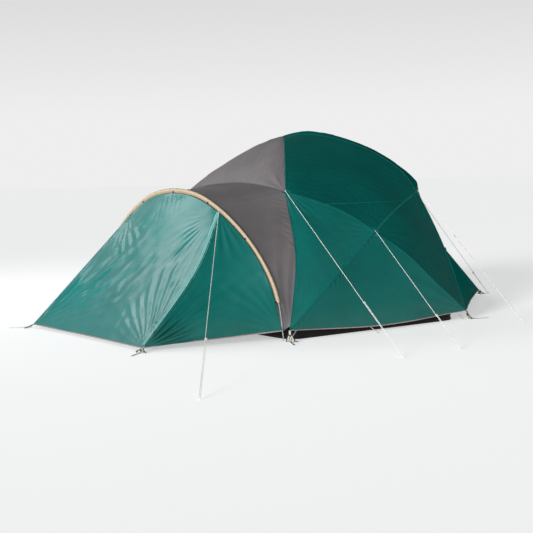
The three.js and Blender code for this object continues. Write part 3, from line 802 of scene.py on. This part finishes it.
# ---- Tunnel and vestibule ----
ARCH_CENTRE = np.array([-1.38, 0, 0.4])
SEAM_TOP = 5                    # arch control point where the vestibule's side seams end
FLAP_WIDTH = 0.052
DOOR_HEM_WIDTH = 0.014
SLEEVE_DEPTH = 0.030            # the door is sewn to the sleeve's inner edge, this far inside the arch
TUNNEL_SHIFT = (0.010, 0, 0)
DOOR_SHIFT = (-0.016, 0, 0)
FOOT_FRONT = (FRONT_CORNER[0] - 0.06, FRONT_CORNER[1] + 0.02, FRONT_CORNER[2])
FLANK = 0.34                    # share of the tunnel's rear edge on each diagonal


def arch_inner_edge(t):
    points = arch(t)
    return points - unit(points - ARCH_CENTRE) * SLEEVE_DEPTH + DOOR_SHIFT


arch_inner_edge.last = arch.last
SEAM_TOP_AT = tuple(arch_inner_edge(SEAM_TOP / arch.last)[0])
ZIP_SEAM = smooth_line([VESTIBULE_CORNER, (-1.821, -1.095, 0.695), SEAM_TOP_AT])
HINGE_SEAM = smooth_line([far(VESTIBULE_CORNER), far(SEAM_TOP_AT)])
FRONT_HEM = smooth_line([VESTIBULE_CORNER, (-2.47, 0, 0.028), far(VESTIBULE_CORNER)])
even_arch = even(arch)


def tunnel_rear_edge(u):
    """From the left foot up the diagonal, over the front hoop, and down the other diagonal."""
    up = CORNER_TO_FRONT_NODE(np.clip(u / FLANK, 0, 1))
    over = OVER_FRONT(np.clip((u - FLANK) / (1 - 2 * FLANK), 0, 1))
    down = mirror(CORNER_TO_FRONT_NODE)(np.clip((1 - u) / FLANK, 0, 1))
    return np.where((u < FLANK)[:, None], up, np.where((u > 1 - FLANK)[:, None], down, over))


def tunnel(u, v):
    front = even_arch(u) + TUNNEL_SHIFT
    front[:, 2] = np.maximum(front[:, 2], FRONT_CORNER[2])
    return front * (1 - v[:, None]) + tunnel_rear_edge(u) * v[:, None]


def tunnel_panel():
    Panel(
        "fly_front_lower", tunnel, 330, 64, sag=0.016, inside=(-0.9, 0, 0.3), u_range=(0.012, 0.988),
        seed=31, relief=0.0026,
        fans=[*fan_pair(FRONT_NODE, (-1.4, -0.9, 1.2), 24, 0.005, 0.25),
              *fan_pair(FRONT_CORNER, (-1.1, -1.5, 0.9), 40, 0.004, 0.5, 0.4)],
    ).build("fly_grey", hangs_on=[*DOME_POLES, "pole_arch"])


def door_billows(u, v, place):
    """Soft slanting billows in the middle of the door, and crisp ones towards its foot."""
    slant = 62.0 * u + 30.0 * v + 3.0 * ripple(83, place, 2.0)
    middle = np.exp(-((u - 0.45) / 0.32) ** 2 - ((v - 0.55) / 0.3) ** 2)
    low = np.exp(-((u - 0.5) / 0.4) ** 2 - ((v - 0.2) / 0.13) ** 2)
    steep = np.sin(70.0 * u - 30.0 * v + 3.0 * ripple(89, place, 3.0))
    return (0.006 * middle * np.sin(slant) * np.clip(0.1 + 1.4 * ripple(97, place, 4.5), 0, 1.3)
            + 0.005 * low * steep * np.clip(0.1 + 1.4 * ripple(101, place, 5.5), 0, 1.3))


def vestibule_panels():
    inside = (-1.5, 0, 0.2)
    door = Panel(
        "vestibule_door",
        coons(FRONT_HEM, span(arch_inner_edge, SEAM_TOP, arch.last - SEAM_TOP), ZIP_SEAM, HINGE_SEAM),
        230, 200, sag=0.028, inside=inside, free=("bottom",), seed=37, relief=0.003, extra=door_billows,
        fans=[(far(VESTIBULE_CORNER), (-1.5, 0.5, 1.1), 34, 0.019, 0.9, 0.6),
              (far(VESTIBULE_CORNER), (-1.6, 0.2, 0.9), 60, 0.008, 0.6, 0.8),
              (VESTIBULE_CORNER, (-1.6, -0.4, 0.9), 40, 0.008, 0.5, 0.8),
              (far(SEAM_TOP_AT), (-2.2, 0.6, 0.4), 34, 0.009, 0.35),
              (SEAM_TOP_AT, (-2.2, -0.4, 0.4), 36, 0.006, 0.3)])
    door.build("fly_light_teal", body="door", hangs_on=["pole_arch"])
    door.band("left", FLAP_WIDTH, "zip_tape", raised=0.003, start=0.02, body="door", name="zip_flap")
    door.band("right", SEAM_WIDTH, "seam_light_teal", body="door")
    door.band("bottom", DOOR_HEM_WIDTH, "hem_binding", end=0.985, body="door")

    hem = smooth_line([VESTIBULE_CORNER, FOOT_FRONT])
    arch_flank = span(arch_inner_edge, 0.35, SEAM_TOP)

    def flank(t):
        """Starts at the dome's corner and soon follows the arch."""
        foot, share = np.array(FOOT_FRONT), np.clip(np.atleast_1d(t) * 6, 0, 1)[:, None]
        return foot + (arch_flank(t) - foot) * share

    for label, way in SIDES:
        seam = ZIP_SEAM if label == "left" else mirror(HINGE_SEAM)
        wall = triangle(
            f"vestibule_side_{label}", hem, seam, flank, 140, 150, sag=0.018, inside=inside,
            free=("bottom",), seed=41, way=way, relief=0.003,
            fans=[(VESTIBULE_CORNER, (-1.3, -1.5, 0.45), 36, 0.036, 0.5, 0.5),
                  (SEAM_TOP_AT, (-1.7, -1.3, 0.3), 28, 0.006, 0.4, 0.7),
                  (FOOT_FRONT, (-1.9, -1.2, 0.5), 30, 0.004, 0.3)])
        wall.build("fly_teal", hangs_on=["pole_arch"])
        wall.band("bottom", SEAM_WIDTH, "hem_binding")
        wall.band("left", 0.011, "zip_tape" if label == "left" else "seam_teal")


roof_panels()
side_panels()
rear_panels()
tunnel_panel()
vestibule_panels()


# ---- Where things lie on the cloth ----
def cloth_tree():
    vertices, faces, base = [], [], 0
    for places, quads in PANELS:
        vertices.extend(Vector(p) for p in places)
        faces.extend(tuple(int(k) + base for k in quad) for quad in quads)
        base += len(places)
    return BVHTree.FromPolygons(vertices, faces)


CLOTH = cloth_tree()
DOME_HEART = np.array([0.25, 0.25, 0])
PATCH_RADIUS = 0.042
PATCH_RINGS, PATCH_SIDES = 9, 36
PATCH_RISE = 0.0016


def outward(p):
    """Away from the inside of the dome, at a place on it."""
    p = np.asarray(p, float)
    return unit(p - (p * DOME_HEART + [0, 0, 0.35]))


def onto_cloth(p, out, lift=0.0):
    hit = CLOTH.ray_cast(Vector(p + out * 0.06), Vector(-out), 0.14)[0]
    return (np.array(hit) if hit is not None else np.asarray(p, float)) + out * lift


def patch(name, at):
    """A reinforcement patch with four soft corners that follows the cloth under it."""
    out = outward(at)
    first = unit(np.cross(out, UP))
    second = np.cross(out, first)
    places, uvs = [], []
    for share in np.arange(PATCH_RINGS + 1) / PATCH_RINGS:
        for turn in np.arange(PATCH_SIDES) / PATCH_SIDES * 2 * math.pi:
            reach = PATCH_RADIUS * share * (1 + 0.22 * math.cos(4 * turn))
            place = at + (first * math.cos(turn) + second * math.sin(turn)) * reach
            places.append(onto_cloth(place, out, PATCH_RISE if share < 1 else SEAM_UNDER))
            uvs.append((0.5 + 0.36 * share, turn * PATCH_RADIUS))
    add_object(name, places, grid_faces(PATCH_RINGS + 1, PATCH_SIDES, wrap=True), "seam_teal", uvs)


# ---- Poles ----
FIRST_LAYER = 0.017
POLE_LAYER = 0.014
POLE_RADIUS = 0.0055
ARCH_POLE_RADIUS = 0.005
FOOT_HEIGHT = 0.009
SECTION_LENGTH = 0.52
FERRULE_LENGTH = 0.06
TIP_LENGTH = 0.03
POLE_STEP = 0.012


def lowered(points, depth):
    points = np.asarray(points, float)
    return points - outward(points) * depth


def pole(node, points, radius):
    """Alloy sections that meet in ferrules, and a thinner tip at each foot."""
    line = even(smooth_line(points), 800)
    length = run_along(line(np.linspace(0, 1, 600)))[-1]
    t = np.linspace(0, 1, int(length / POLE_STEP))
    run = t * length
    radii = np.full(len(t), radius * 0.97)
    from_joint = np.abs((run + SECTION_LENGTH / 2) % SECTION_LENGTH - SECTION_LENGTH / 2)
    radii[from_joint < FERRULE_LENGTH / 2] = radius * 1.14
    radii[np.minimum(run, length - run) < TIP_LENGTH] = radius * 0.7
    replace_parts(add_mesh("tube_" + node, tube_mesh(line(t), radii, sides=14), "alloy"), node)


def poles():
    seams = {
        "pole_diagonal_left": DIAGONAL_POINTS,
        "pole_diagonal_right": OTHER_DIAGONAL_POINTS,
        "pole_hoop_front": FRONT_HOOP_POINTS,
        "pole_hoop_rear": REAR_HOOP_POINTS,
    }
    for layer, (node, points) in enumerate(seams.items()):
        line = lowered(points, FIRST_LAYER + layer * POLE_LAYER)
        line[[0, -1], 2] = FOOT_HEIGHT
        pole(node, line, POLE_RADIUS)
    pole("pole_arch", ARCH_POINTS, ARCH_POLE_RADIUS)


SLEEVE_FOOT = 0.385
SLEEVE_HALF_DEPTH = 0.025
SLEEVE_HALF_WIDTH = 0.012
PIPING_RADIUS = 0.0028
SLEEVE_CLIPS_AT = (0.0, 0.17, 0.34, 0.5, 0.66, 0.83, 1.0)


def arch_sleeve():
    """A flat cloth pocket on the arch pole, deeper towards the tunnel's inside, with stitched edges."""
    points = even_arch(np.linspace(0, 1, 700))
    points = points[points[:, 2] > SLEEVE_FOOT]
    away = unit(points - ARCH_CENTRE)
    along = unit(np.gradient(points, axis=0))
    pinch = 1 + 0.06 * ripple(51, points, 34.0)
    section = circle(20)[None] * np.stack([SLEEVE_HALF_DEPTH * pinch, SLEEVE_HALF_WIDTH * pinch], -1)[:, None]
    middle = points - away * 0.006
    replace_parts(add_mesh("cloth_arch_sleeve", swept_mesh(middle, away, np.cross(along, away), section),
                         "sleeve"), "arch_sleeve")
    for label, side in (("front", -1), ("rear", 1)):
        piping = middle - away * SLEEVE_HALF_DEPTH * 0.92 + np.cross(along, away) * 0.006 * side
        add_mesh(f"sleeve_piping_{label}", tube_mesh(piping, PIPING_RADIUS, 8), "sleeve_edge")
    for number, share in enumerate(SLEEVE_CLIPS_AT):
        k = int(share * (len(points) - 1))
        axes = [along[k], away[k], np.cross(along[k], away[k])]
        block = moulded_mesh(middle[k] - away[k] * 0.012, axes, [0.012, 0.016, 0.0155])
        hook = bent_tube([middle[k] - away[k] * depth + axes[2] * rise
                          for depth, rise in ((-0.004, 0.016), (0.018, 0.021), (0.034, 0.013))], 0.003)
        add_mesh(f"sleeve_clip_{number}", joined_mesh(block, hook), "black_plastic")


poles()
arch_sleeve()


# ---- Clips and patches where the poles cross ----
NODE_CLIP_HALF = [0.013, 0.008, 0.005]
REAR_CLIP_HALF = [0.009, 0.018, 0.006]
REAR_LOOP_LENGTH = 0.052
THIN_LOOP_RADIUS = 0.0028
REAR_LOOP_AT = rear_hoop(7.4 / 16)[0]


def clip(name, at, half, lift):
    """A moulded clip on the cloth, level across and with its thickness outward."""
    out = outward(at)
    across = unit(np.cross(out, UP))
    seat = onto_cloth(at, out, lift)
    add_mesh(name, moulded_mesh(seat, [across, np.cross(out, across), out], half), "black_plastic")


def node_fittings():
    for label, at in (("front", FRONT_NODE), ("side", SIDE_NODE), ("rear", REAR_NODE)):
        for side, way in SIDES:
            patch(f"node_patch_{label}_{side}", at * way)
            clip(f"node_clip_{label}_{side}", at * way, NODE_CLIP_HALF, 0.004)
    for side, way in SIDES:
        clip(f"rear_clip_{side}", REAR_CLIP * way, REAR_CLIP_HALF, 0.005)
    for side, way in SIDES:
        out = outward(REAR_LOOP_AT * way)
        seat = onto_cloth(REAR_LOOP_AT * way, out, 0.001)
        belly = np.array([0, 0.008, 0.006])
        loop = [seat, seat + out * 0.030 + belly, seat + out * REAR_LOOP_LENGTH,
                seat + out * 0.030 - belly, seat - [0, 0.003, 0.002]]
        add_mesh(f"rear_loop_{side}", bent_tube(loop, THIN_LOOP_RADIUS), "black_cord")


# ---- Zip ----
ZIP_SPAN = (0.02, 0.985)
ZIP_OFFSET = (-0.002, -0.005, 0.001)
TEETH_RADIUS, TEETH_WAVE = 0.0024, 0.0007


def zip_coil():
    points = even(ZIP_SEAM)(np.linspace(*ZIP_SPAN, 900)) + ZIP_OFFSET
    teeth = TEETH_RADIUS + TEETH_WAVE * np.sin(np.arange(len(points)) * 2.1)
    add_mesh("zip_coil", tube_mesh(points, teeth, 8), "black_plastic", body="door")


def zip_slider():
    low, high = (np.array(c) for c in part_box("zip_slider"))
    up = unit(ZIP_SEAM(0.4)[0] - ZIP_SEAM(0.1)[0])
    across = unit(np.cross([0.3, -1, 0], up))
    out = np.cross(up, across)
    if out @ [0, -1, 0] < 0:
        out = -out
    middle = (low + high) / 2
    head = moulded_mesh(middle + up * 0.008, [across, up, out], [0.005, 0.010, 0.0035])
    bridge = bent_tube([middle + up * 0.014 + out * 0.003, middle + up * 0.008 + out * 0.006,
                        middle + out * 0.003], 0.0013, step=0.001)
    tab = bent_strap([middle + up * 0.004 + out * 0.005, middle - up * 0.006 + out * 0.006,
                      middle - up * 0.020 + out * 0.004], 0.006, 0.0016, across)
    made = add_mesh("zip_slider_body", joined_mesh(head, bridge, tab), "alloy", body="zip_slider")
    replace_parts(made, "zip_slider")


# ---- Guy lines ----
CORD_RADIUS = 0.0025
STRAND_SPACING = 0.010
LOOP_STANDOFF = 0.016
GUY_LOOP_RADIUS = 0.0024
KNOT_HALF = [0.0032, 0.0042, 0.0032]
SLIDER_HALF = 0.014
SLIDER_SEAT = 0.017             # from the share of the line to the slider's middle
ARCH_SEAM_TOP = (-1.416, -0.905, 1.236)
GUYS = [
    ("front", FRONT_NODE, (-1.028, -3.124, 0.005), 0.70, True),
    ("side", SIDE_NODE, (-0.349, -3.122, 0.005), 0.73, True),
    ("rear", REAR_NODE, (1.373, -2.249, 0.005), 0.35, True),
    ("wing", REAR_LOOP_AT, (3.1, -0.045, 0.005), 0.80, False),
    ("arch", ARCH_SEAM_TOP, (-3.314, -3.545, 0.005), 0.74, False),
]


def guy(name, top, foot, slider_share):
    """A line from its loop to the ground and back up to its slider."""
    start = np.array(top) + outward(top) * LOOP_STANDOFF
    foot = np.array(foot)
    ahead = unit(foot - start)
    across = unit(np.cross(UP, ahead))
    length = np.linalg.norm(foot - start)
    seat = length * slider_share + SLIDER_SEAT
    half = STRAND_SPACING / 2
    down = [start + across * -half + ahead * s for s in np.linspace(0, length - half, 60)]
    turn = [foot - ahead * half + across * -half * math.cos(a) + ahead * half * math.sin(a)
            for a in np.linspace(0, math.pi, 14)[1:-1]]
    back = [start + across * half + ahead * s for s in np.linspace(length - half, seat, 24)]
    path = np.array([*down, *turn, *back])
    line = add_mesh(f"line_{name}", tube_mesh(path, CORD_RADIUS, 8), "guy_cord")
    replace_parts(line, f"guy_{name}")
    axes = [across, ahead, np.cross(across, ahead)]
    knot = moulded_mesh(path[-1] + ahead * 0.001, axes, KNOT_HALF, 0.9)
    knotted = add_mesh(f"knot_{name}", knot, "guy_cord")

    middle = start + ahead * seat
    plate = moulded_mesh(middle, axes, [0.0095, SLIDER_HALF, 0.0026], 0.35)
    bars = [moulded_mesh(middle + ahead * s, axes, [0.0105, 0.0028, 0.0042], 0.5)
            for s in (-SLIDER_HALF * 0.8, 0.0, SLIDER_HALF * 0.8)]
    slid = add_mesh(f"slider_{name}", joined_mesh(plate, *bars), "slider", body=f"guy_slider_{name}")
    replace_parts(slid, f"guy_slider_{name}")
    run_along(path)[-1]

    tab_side = unit(np.cross(ahead, outward(top)))
    root = np.array(top) + outward(top) * 0.001
    end = start + across * -half
    loop = [root + tab_side * 0.005, end + tab_side * 0.007 - ahead * 0.004, end + ahead * 0.006,
            end - tab_side * 0.007 - ahead * 0.004, root - tab_side * 0.005]
    colour = "black_cord" if name.startswith(("rear", "wing")) else "guy_cord"
    add_mesh(f"guy_loop_{name}", bent_tube(loop, GUY_LOOP_RADIUS), colour)


def guys():
    for name, top, foot, share, paired in GUYS:
        for label, way in SIDES[:2 if paired else 1]:
            guy(f"{name}_{label}", top * way, foot * way, share)


# ---- Pegs and corner straps ----
STAKES = [
    ("front", FRONT_CORNER, (-0.5, -1, 0), True),
    ("rear", REAR_CORNER, (1, -0.35, 0), True),
    ("vestibule", VESTIBULE_CORNER, (-1, -0.8, 0), True),
    ("wing", WING_TIP, (1, 0.3, 0), False),
]
PEG_RADIUS = 0.0035
PEG_LENGTH = 0.2
PEG_START = 0.066
PEG_FLATNESS = 2.8
PEG_POINT = 0.03                # length of the rounded, narrower stretch at its point
STRAP_WIDTH = 0.019
RING_RADIUS, WIRE_RADIUS = 0.010, 0.0019
LEG_WIDTH = 0.015
LOOP_WIDTH = 0.012
WEBBING_THICKNESS = 0.0016
HOOK_RADIUS = 0.0046
LOOSE_END_RADIUS = 0.0044
ELASTIC_RADIUS = 0.0017
HEM_LOOP_AT = 0.42              # share of the side hem before its pull-out loop


def peg(name, at):
    """A flat peg with a rounded point and a hooked head, lying on the ground."""
    path = smooth_points([at(PEG_START + along, across) for along, across in (
        (PEG_LENGTH, 0), (0.06, 0), (0.022, 0), (0.009, 0.006), (0.009, 0.017), (0.022, 0.022))])
    run = run_along(path)
    along = unit(np.gradient(path, axis=0))
    wide = np.clip(0.2 + run / PEG_POINT, 0.2, 1) * np.where(run < PEG_LENGTH - PEG_POINT, PEG_FLATNESS, 1)
    thick = np.clip(0.4 + run / PEG_POINT, 0.4, 1)
    section = circle(14)[None] * np.stack([wide, thick], -1)[:, None] * PEG_RADIUS
    flat = unit(np.cross(UP, along))
    bar = swept_mesh(path, flat, np.cross(along, flat), section)
    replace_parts(add_mesh(f"peg_bar_{name}", bar, "alloy"), f"peg_{name}")


def strap(name, hem, away, side, at):
    """Webbing from the hem to the ring and back, with a black tail and a buckle on it."""
    band = bent_strap([
        hem - away * 0.012 - UP * 0.001, hem + away * 0.006, hem * 0.4 + at(0.034, 0, 0.006) * 0.6,
        at(0.040, 0, 0.004), at(0.043, 0, 0.007), at(0.036, 0, 0.010)], STRAP_WIDTH, 0.0018, side)
    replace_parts(add_mesh(f"strap_{name}", band, "webbing"), f"corner_strap_{name}")
    tail = bent_strap([
        hem - away * 0.014 - UP * 0.003, hem + away * 0.004 - UP * 0.004,
        hem * 0.5 + at(0.030, 0.006, 0.006) * 0.5, at(0.034, 0.008, 0.004)], 0.013, 0.0014, side)
    add_mesh(f"strap_tail_{name}", tail, "black_webbing")
    axes = [side, unit(hem - at(0.034, 0, 0)), away]
    buckle = moulded_mesh(hem * 0.55 + at(0.030, 0, 0.008) * 0.45, axes, [0.020, 0.014, 0.006])
    add_mesh(f"strap_buckle_{name}", buckle, "black_plastic")


def legs_and_hooks(name, hem, away, side, at):
    """A pair of webbing legs, a pair of black hooks outside them, and a loose cord end."""
    for number, way in enumerate((-1, 1)):
        leg = [hem - away * 0.010 - UP * 0.002, hem * 0.6 + at(0.030, way * 0.024, 0.016) * 0.4,
               at(0.062, way * 0.026, 0.012), at(0.098, way * 0.010, 0.010)]
        band = bent_strap(leg, LEG_WIDTH, WEBBING_THICKNESS, side)
        add_mesh(f"strap_leg_{name}_{number}", band, "webbing")
    for number, way in enumerate((-1, 1)):
        hook = [hem + away * 0.002 + side * way * 0.008, hem * 0.5 + at(0.030, way * 0.036, 0.018) * 0.5,
                at(0.048, way * 0.040, 0.014), at(0.056, way * 0.030, 0.010)]
        add_mesh(f"strap_hook_{name}_{number}", bent_tube(hook, HOOK_RADIUS), "black_plastic")
    loose = [at(0.048, 0.040, 0.012), at(0.060, 0.056, 0.008), at(0.076, 0.066, 0.006)]
    add_mesh(f"strap_end_{name}", bent_tube(loose, LOOSE_END_RADIUS), "black_cord")


def stake(name, corner, away):
    """A corner's peg, strap, hooks, ring and elastic loop, laid out along the pull of its cloth."""
    away = unit(away)
    side = np.array([-away[1], away[0], 0])

    def at(along, across, height=PEG_RADIUS + 0.0005):
        return corner * (UP == 0) + away * along + side * across + UP * height

    peg(name, at)
    strap(name, corner, away, side, at)
    legs_and_hooks(name, corner, away, side, at)
    add_mesh(f"ring_{name}", ring_mesh(at(0.050, 0, 0.0025), away, side), "alloy")
    elastic = np.array([
        at(0.066 + 0.016 * math.cos(turn), 0.004 + 0.008 * math.sin(turn), 0.0028 + 0.004 * (turn > math.pi))
        for turn in np.linspace(0, 2 * math.pi, 41)])
    add_mesh(f"elastic_{name}", tube_mesh(elastic, ELASTIC_RADIUS, 8), "black_cord")


def pull_out(label, way):
    """A webbing loop with a ring, part way along the side hem."""
    hem = SIDE_HEM(HEM_LOOP_AT)[0] * way
    out = unit((0.15, -1, 0) * way)
    across = np.cross(out, UP)
    loop = [hem - out * 0.01, hem + out * 0.03 - UP * 0.02, hem + out * 0.075 - UP * 0.04]
    add_mesh(f"hem_loop_{label}", bent_strap(loop, LOOP_WIDTH, WEBBING_THICKNESS, across), "webbing")
    centre = (hem + out * 0.088) * (UP == 0) + UP * 0.004
    add_mesh(f"hem_ring_{label}", ring_mesh(centre, out, across, 33), "alloy")


def ground_fittings():
    for name, corner, away, paired in STAKES:
        for label, way in SIDES if paired else [("", 1)]:
            stake(f"{name}_{label}" if paired else name, np.multiply(corner, way), np.multiply(away, way))
    for label, way in SIDES:
        pull_out(label, way)


node_fittings()
zip_coil()
zip_slider()
guys()
ground_fittings()


# ---- Inner tent and groundsheet ----
INNER_DEPTH = 0.125
DOORWAY_TOP = 0.5
DOORWAY_SIDES = (1 / 3, 2 / 3)


def inner_tent():
    near = smooth_line(lowered(DIAGONAL_POINTS, INNER_DEPTH))
    other = smooth_line(lowered(OTHER_DIAGONAL_POINTS, INNER_DEPTH))
    front_near, front_other = span(near, 0, 5), span(other, 0, 5)
    rear_near, rear_other = reverse(span(other, 5, 11)), reverse(span(near, 5, 11))

    def wall(name, left, right, keep=None):
        base = smooth_line([left(0)[0], right(0)[0]])
        panel = Panel(name, three_sided(base, left, right), 60, 60, sag=0.03, v_range=(0, 0.99), seed=61,
                      relief=0.005, pucker=0)
        panel.build("inner_cloth", keep=keep)

    def outside_doorway(u, v):
        rounding = 0.04 * np.clip((v - 0.4) / 0.1, 0, 1) ** 2
        within = (u > DOORWAY_SIDES[0] + rounding) & (u < DOORWAY_SIDES[1] - rounding)
        return ~(within & (v < DOORWAY_TOP))

    wall("inner_wall_front", front_near, front_other, outside_doorway)
    wall("inner_wall_rear", rear_near, rear_other)
    wall("inner_wall_left", front_near, rear_near)
    wall("inner_wall_right", front_other, rear_other)


TUB_WALL = 0.004
TUB_SQUARENESS = 0.09


def groundsheet():
    """A tray of coated cloth. Its wall leans and wrinkles a little between its corners."""
    high = np.array(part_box("groundsheet_tub")[1])
    ring = superellipse(np.linspace(0, 2 * math.pi, 480, endpoint=False), TUB_SQUARENESS) * high[:2]
    run = run_along(ring)
    outside = [(0.0, 0.995), (0.008, 1.0), (0.035, 1.0), (0.06, 1.0), (0.09, 1.0), (high[2], 1.0)]
    rows = [(0.0, 0.0, 0.0)]
    rows += [(z, scale, 0.0) for z, scale in outside]
    rows += [(z, scale, TUB_WALL) for z, scale in outside[:0:-1]]
    rows += [(TUB_WALL, 0.99, TUB_WALL), (TUB_WALL, 0.0, 0.0)]
    levels = []
    for z, scale, inset in rows:
        place = np.column_stack([ring * scale - np.sign(ring) * inset, np.full(len(ring), z)])
        if 0.02 < z < 0.1:
            place[:, :2] -= np.sign(ring) * (0.004 + 0.003 * ripple(71, place * (1, 1, 3), 11.0))[:, None]
        levels.append(place)
    uvs = np.vstack([np.column_stack([run, np.full(len(ring), k * 0.03)]) for k in range(len(levels))])
    made = add_object("cloth_groundsheet", np.vstack(levels), grid_faces(len(levels), len(ring), wrap=True),
                      "groundsheet", uvs)
    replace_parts(made, "groundsheet_tub")


inner_tent()
groundsheet()


# ---- Floor and light ----
FLOOR_GLOW = 0.46
FLOOR_HALF = 400
FLOOR_HEIGHT = -0.001


def floor():
    """A pale floor, lit a little from within as a light table is, so that shadows stay faint."""
    n = material_nodes("floor")
    n.shade(Base_Color=(0.9, 0.9, 0.9, 1), Roughness=0.9, Specular_IOR_Level=0.0,
            Emission_Color=(1, 1, 1, 1), Emission_Strength=FLOOR_GLOW)
    mesh = bpy.data.meshes.new("floor")
    corners = [(x * FLOOR_HALF, y * FLOOR_HALF, 0) for x, y in ((-1, -1), (1, -1), (1, 1), (-1, 1))]
    mesh.from_pydata(corners, [], [(0, 1, 2, 3)])
    mesh.materials.append(MATERIALS["floor"])
    made = add_to_scene("floor", mesh)
    made.location.z = FLOOR_HEIGHT


SKY_LOW, SKY_LOW_AT = (0.86, 0.86, 0.86, 1), 0.05
SKY_HIGH, SKY_HIGH_AT = (0.12, 0.125, 0.13, 1), 0.55


def sky():
    """Pale at the horizon and dimmer overhead, so that upright cloth is lit more than the roof."""
    bpy.context.scene.world = world = bpy.data.worlds.new("sky")
    n = Nodes(world)
    colour = n.ramp(n.axes(n.place("Generated"))["Z"], SKY_LOW, SKY_HIGH, SKY_LOW_AT, SKY_HIGH_AT)
    n.feed(n.tree.nodes["Background"].inputs["Color"], colour)


KEY_DIRECTION = Vector((0.91, 0.40, -0.22))
KEY_STRENGTH = 3.1
KEY_WIDTH = math.radians(16)
SHEEN_FROM = Vector((-0.25, 0.70, 0.67)).normalized()
SHEEN_DISTANCE = 9.0
SHEEN_SIZE = (7.0, 4.0)
SHEEN_WATTS = 190
DOOR_MIDDLE = Vector((-1.8, 0, 0.7))


def light(name, kind, direction, **settings):
    data = bpy.data.lights.new(name, kind)
    for key, value in settings.items():
        setattr(data, key, value)
    made = add_to_scene(name, data)
    made.rotation_euler = direction.to_track_quat("-Z", "Y").to_euler()
    return made


def key_light():
    """A wide soft light from the front left, low enough to leave the roof darker."""
    light("key", "SUN", KEY_DIRECTION, energy=KEY_STRENGTH, angle=KEY_WIDTH)


def sheen_panel():
    """A large soft panel beyond the vestibule, whose mirror image gives the door its pale sheen."""
    wide, tall = SHEEN_SIZE
    panel = light("sheen", "AREA", -SHEEN_FROM, shape="RECTANGLE", size=wide, size_y=tall,
                  energy=SHEEN_WATTS)
    panel.location = DOOR_MIDDLE + SHEEN_FROM * SHEEN_DISTANCE
    panel.visible_camera = False


floor()
sky()
key_light()
sheen_panel()
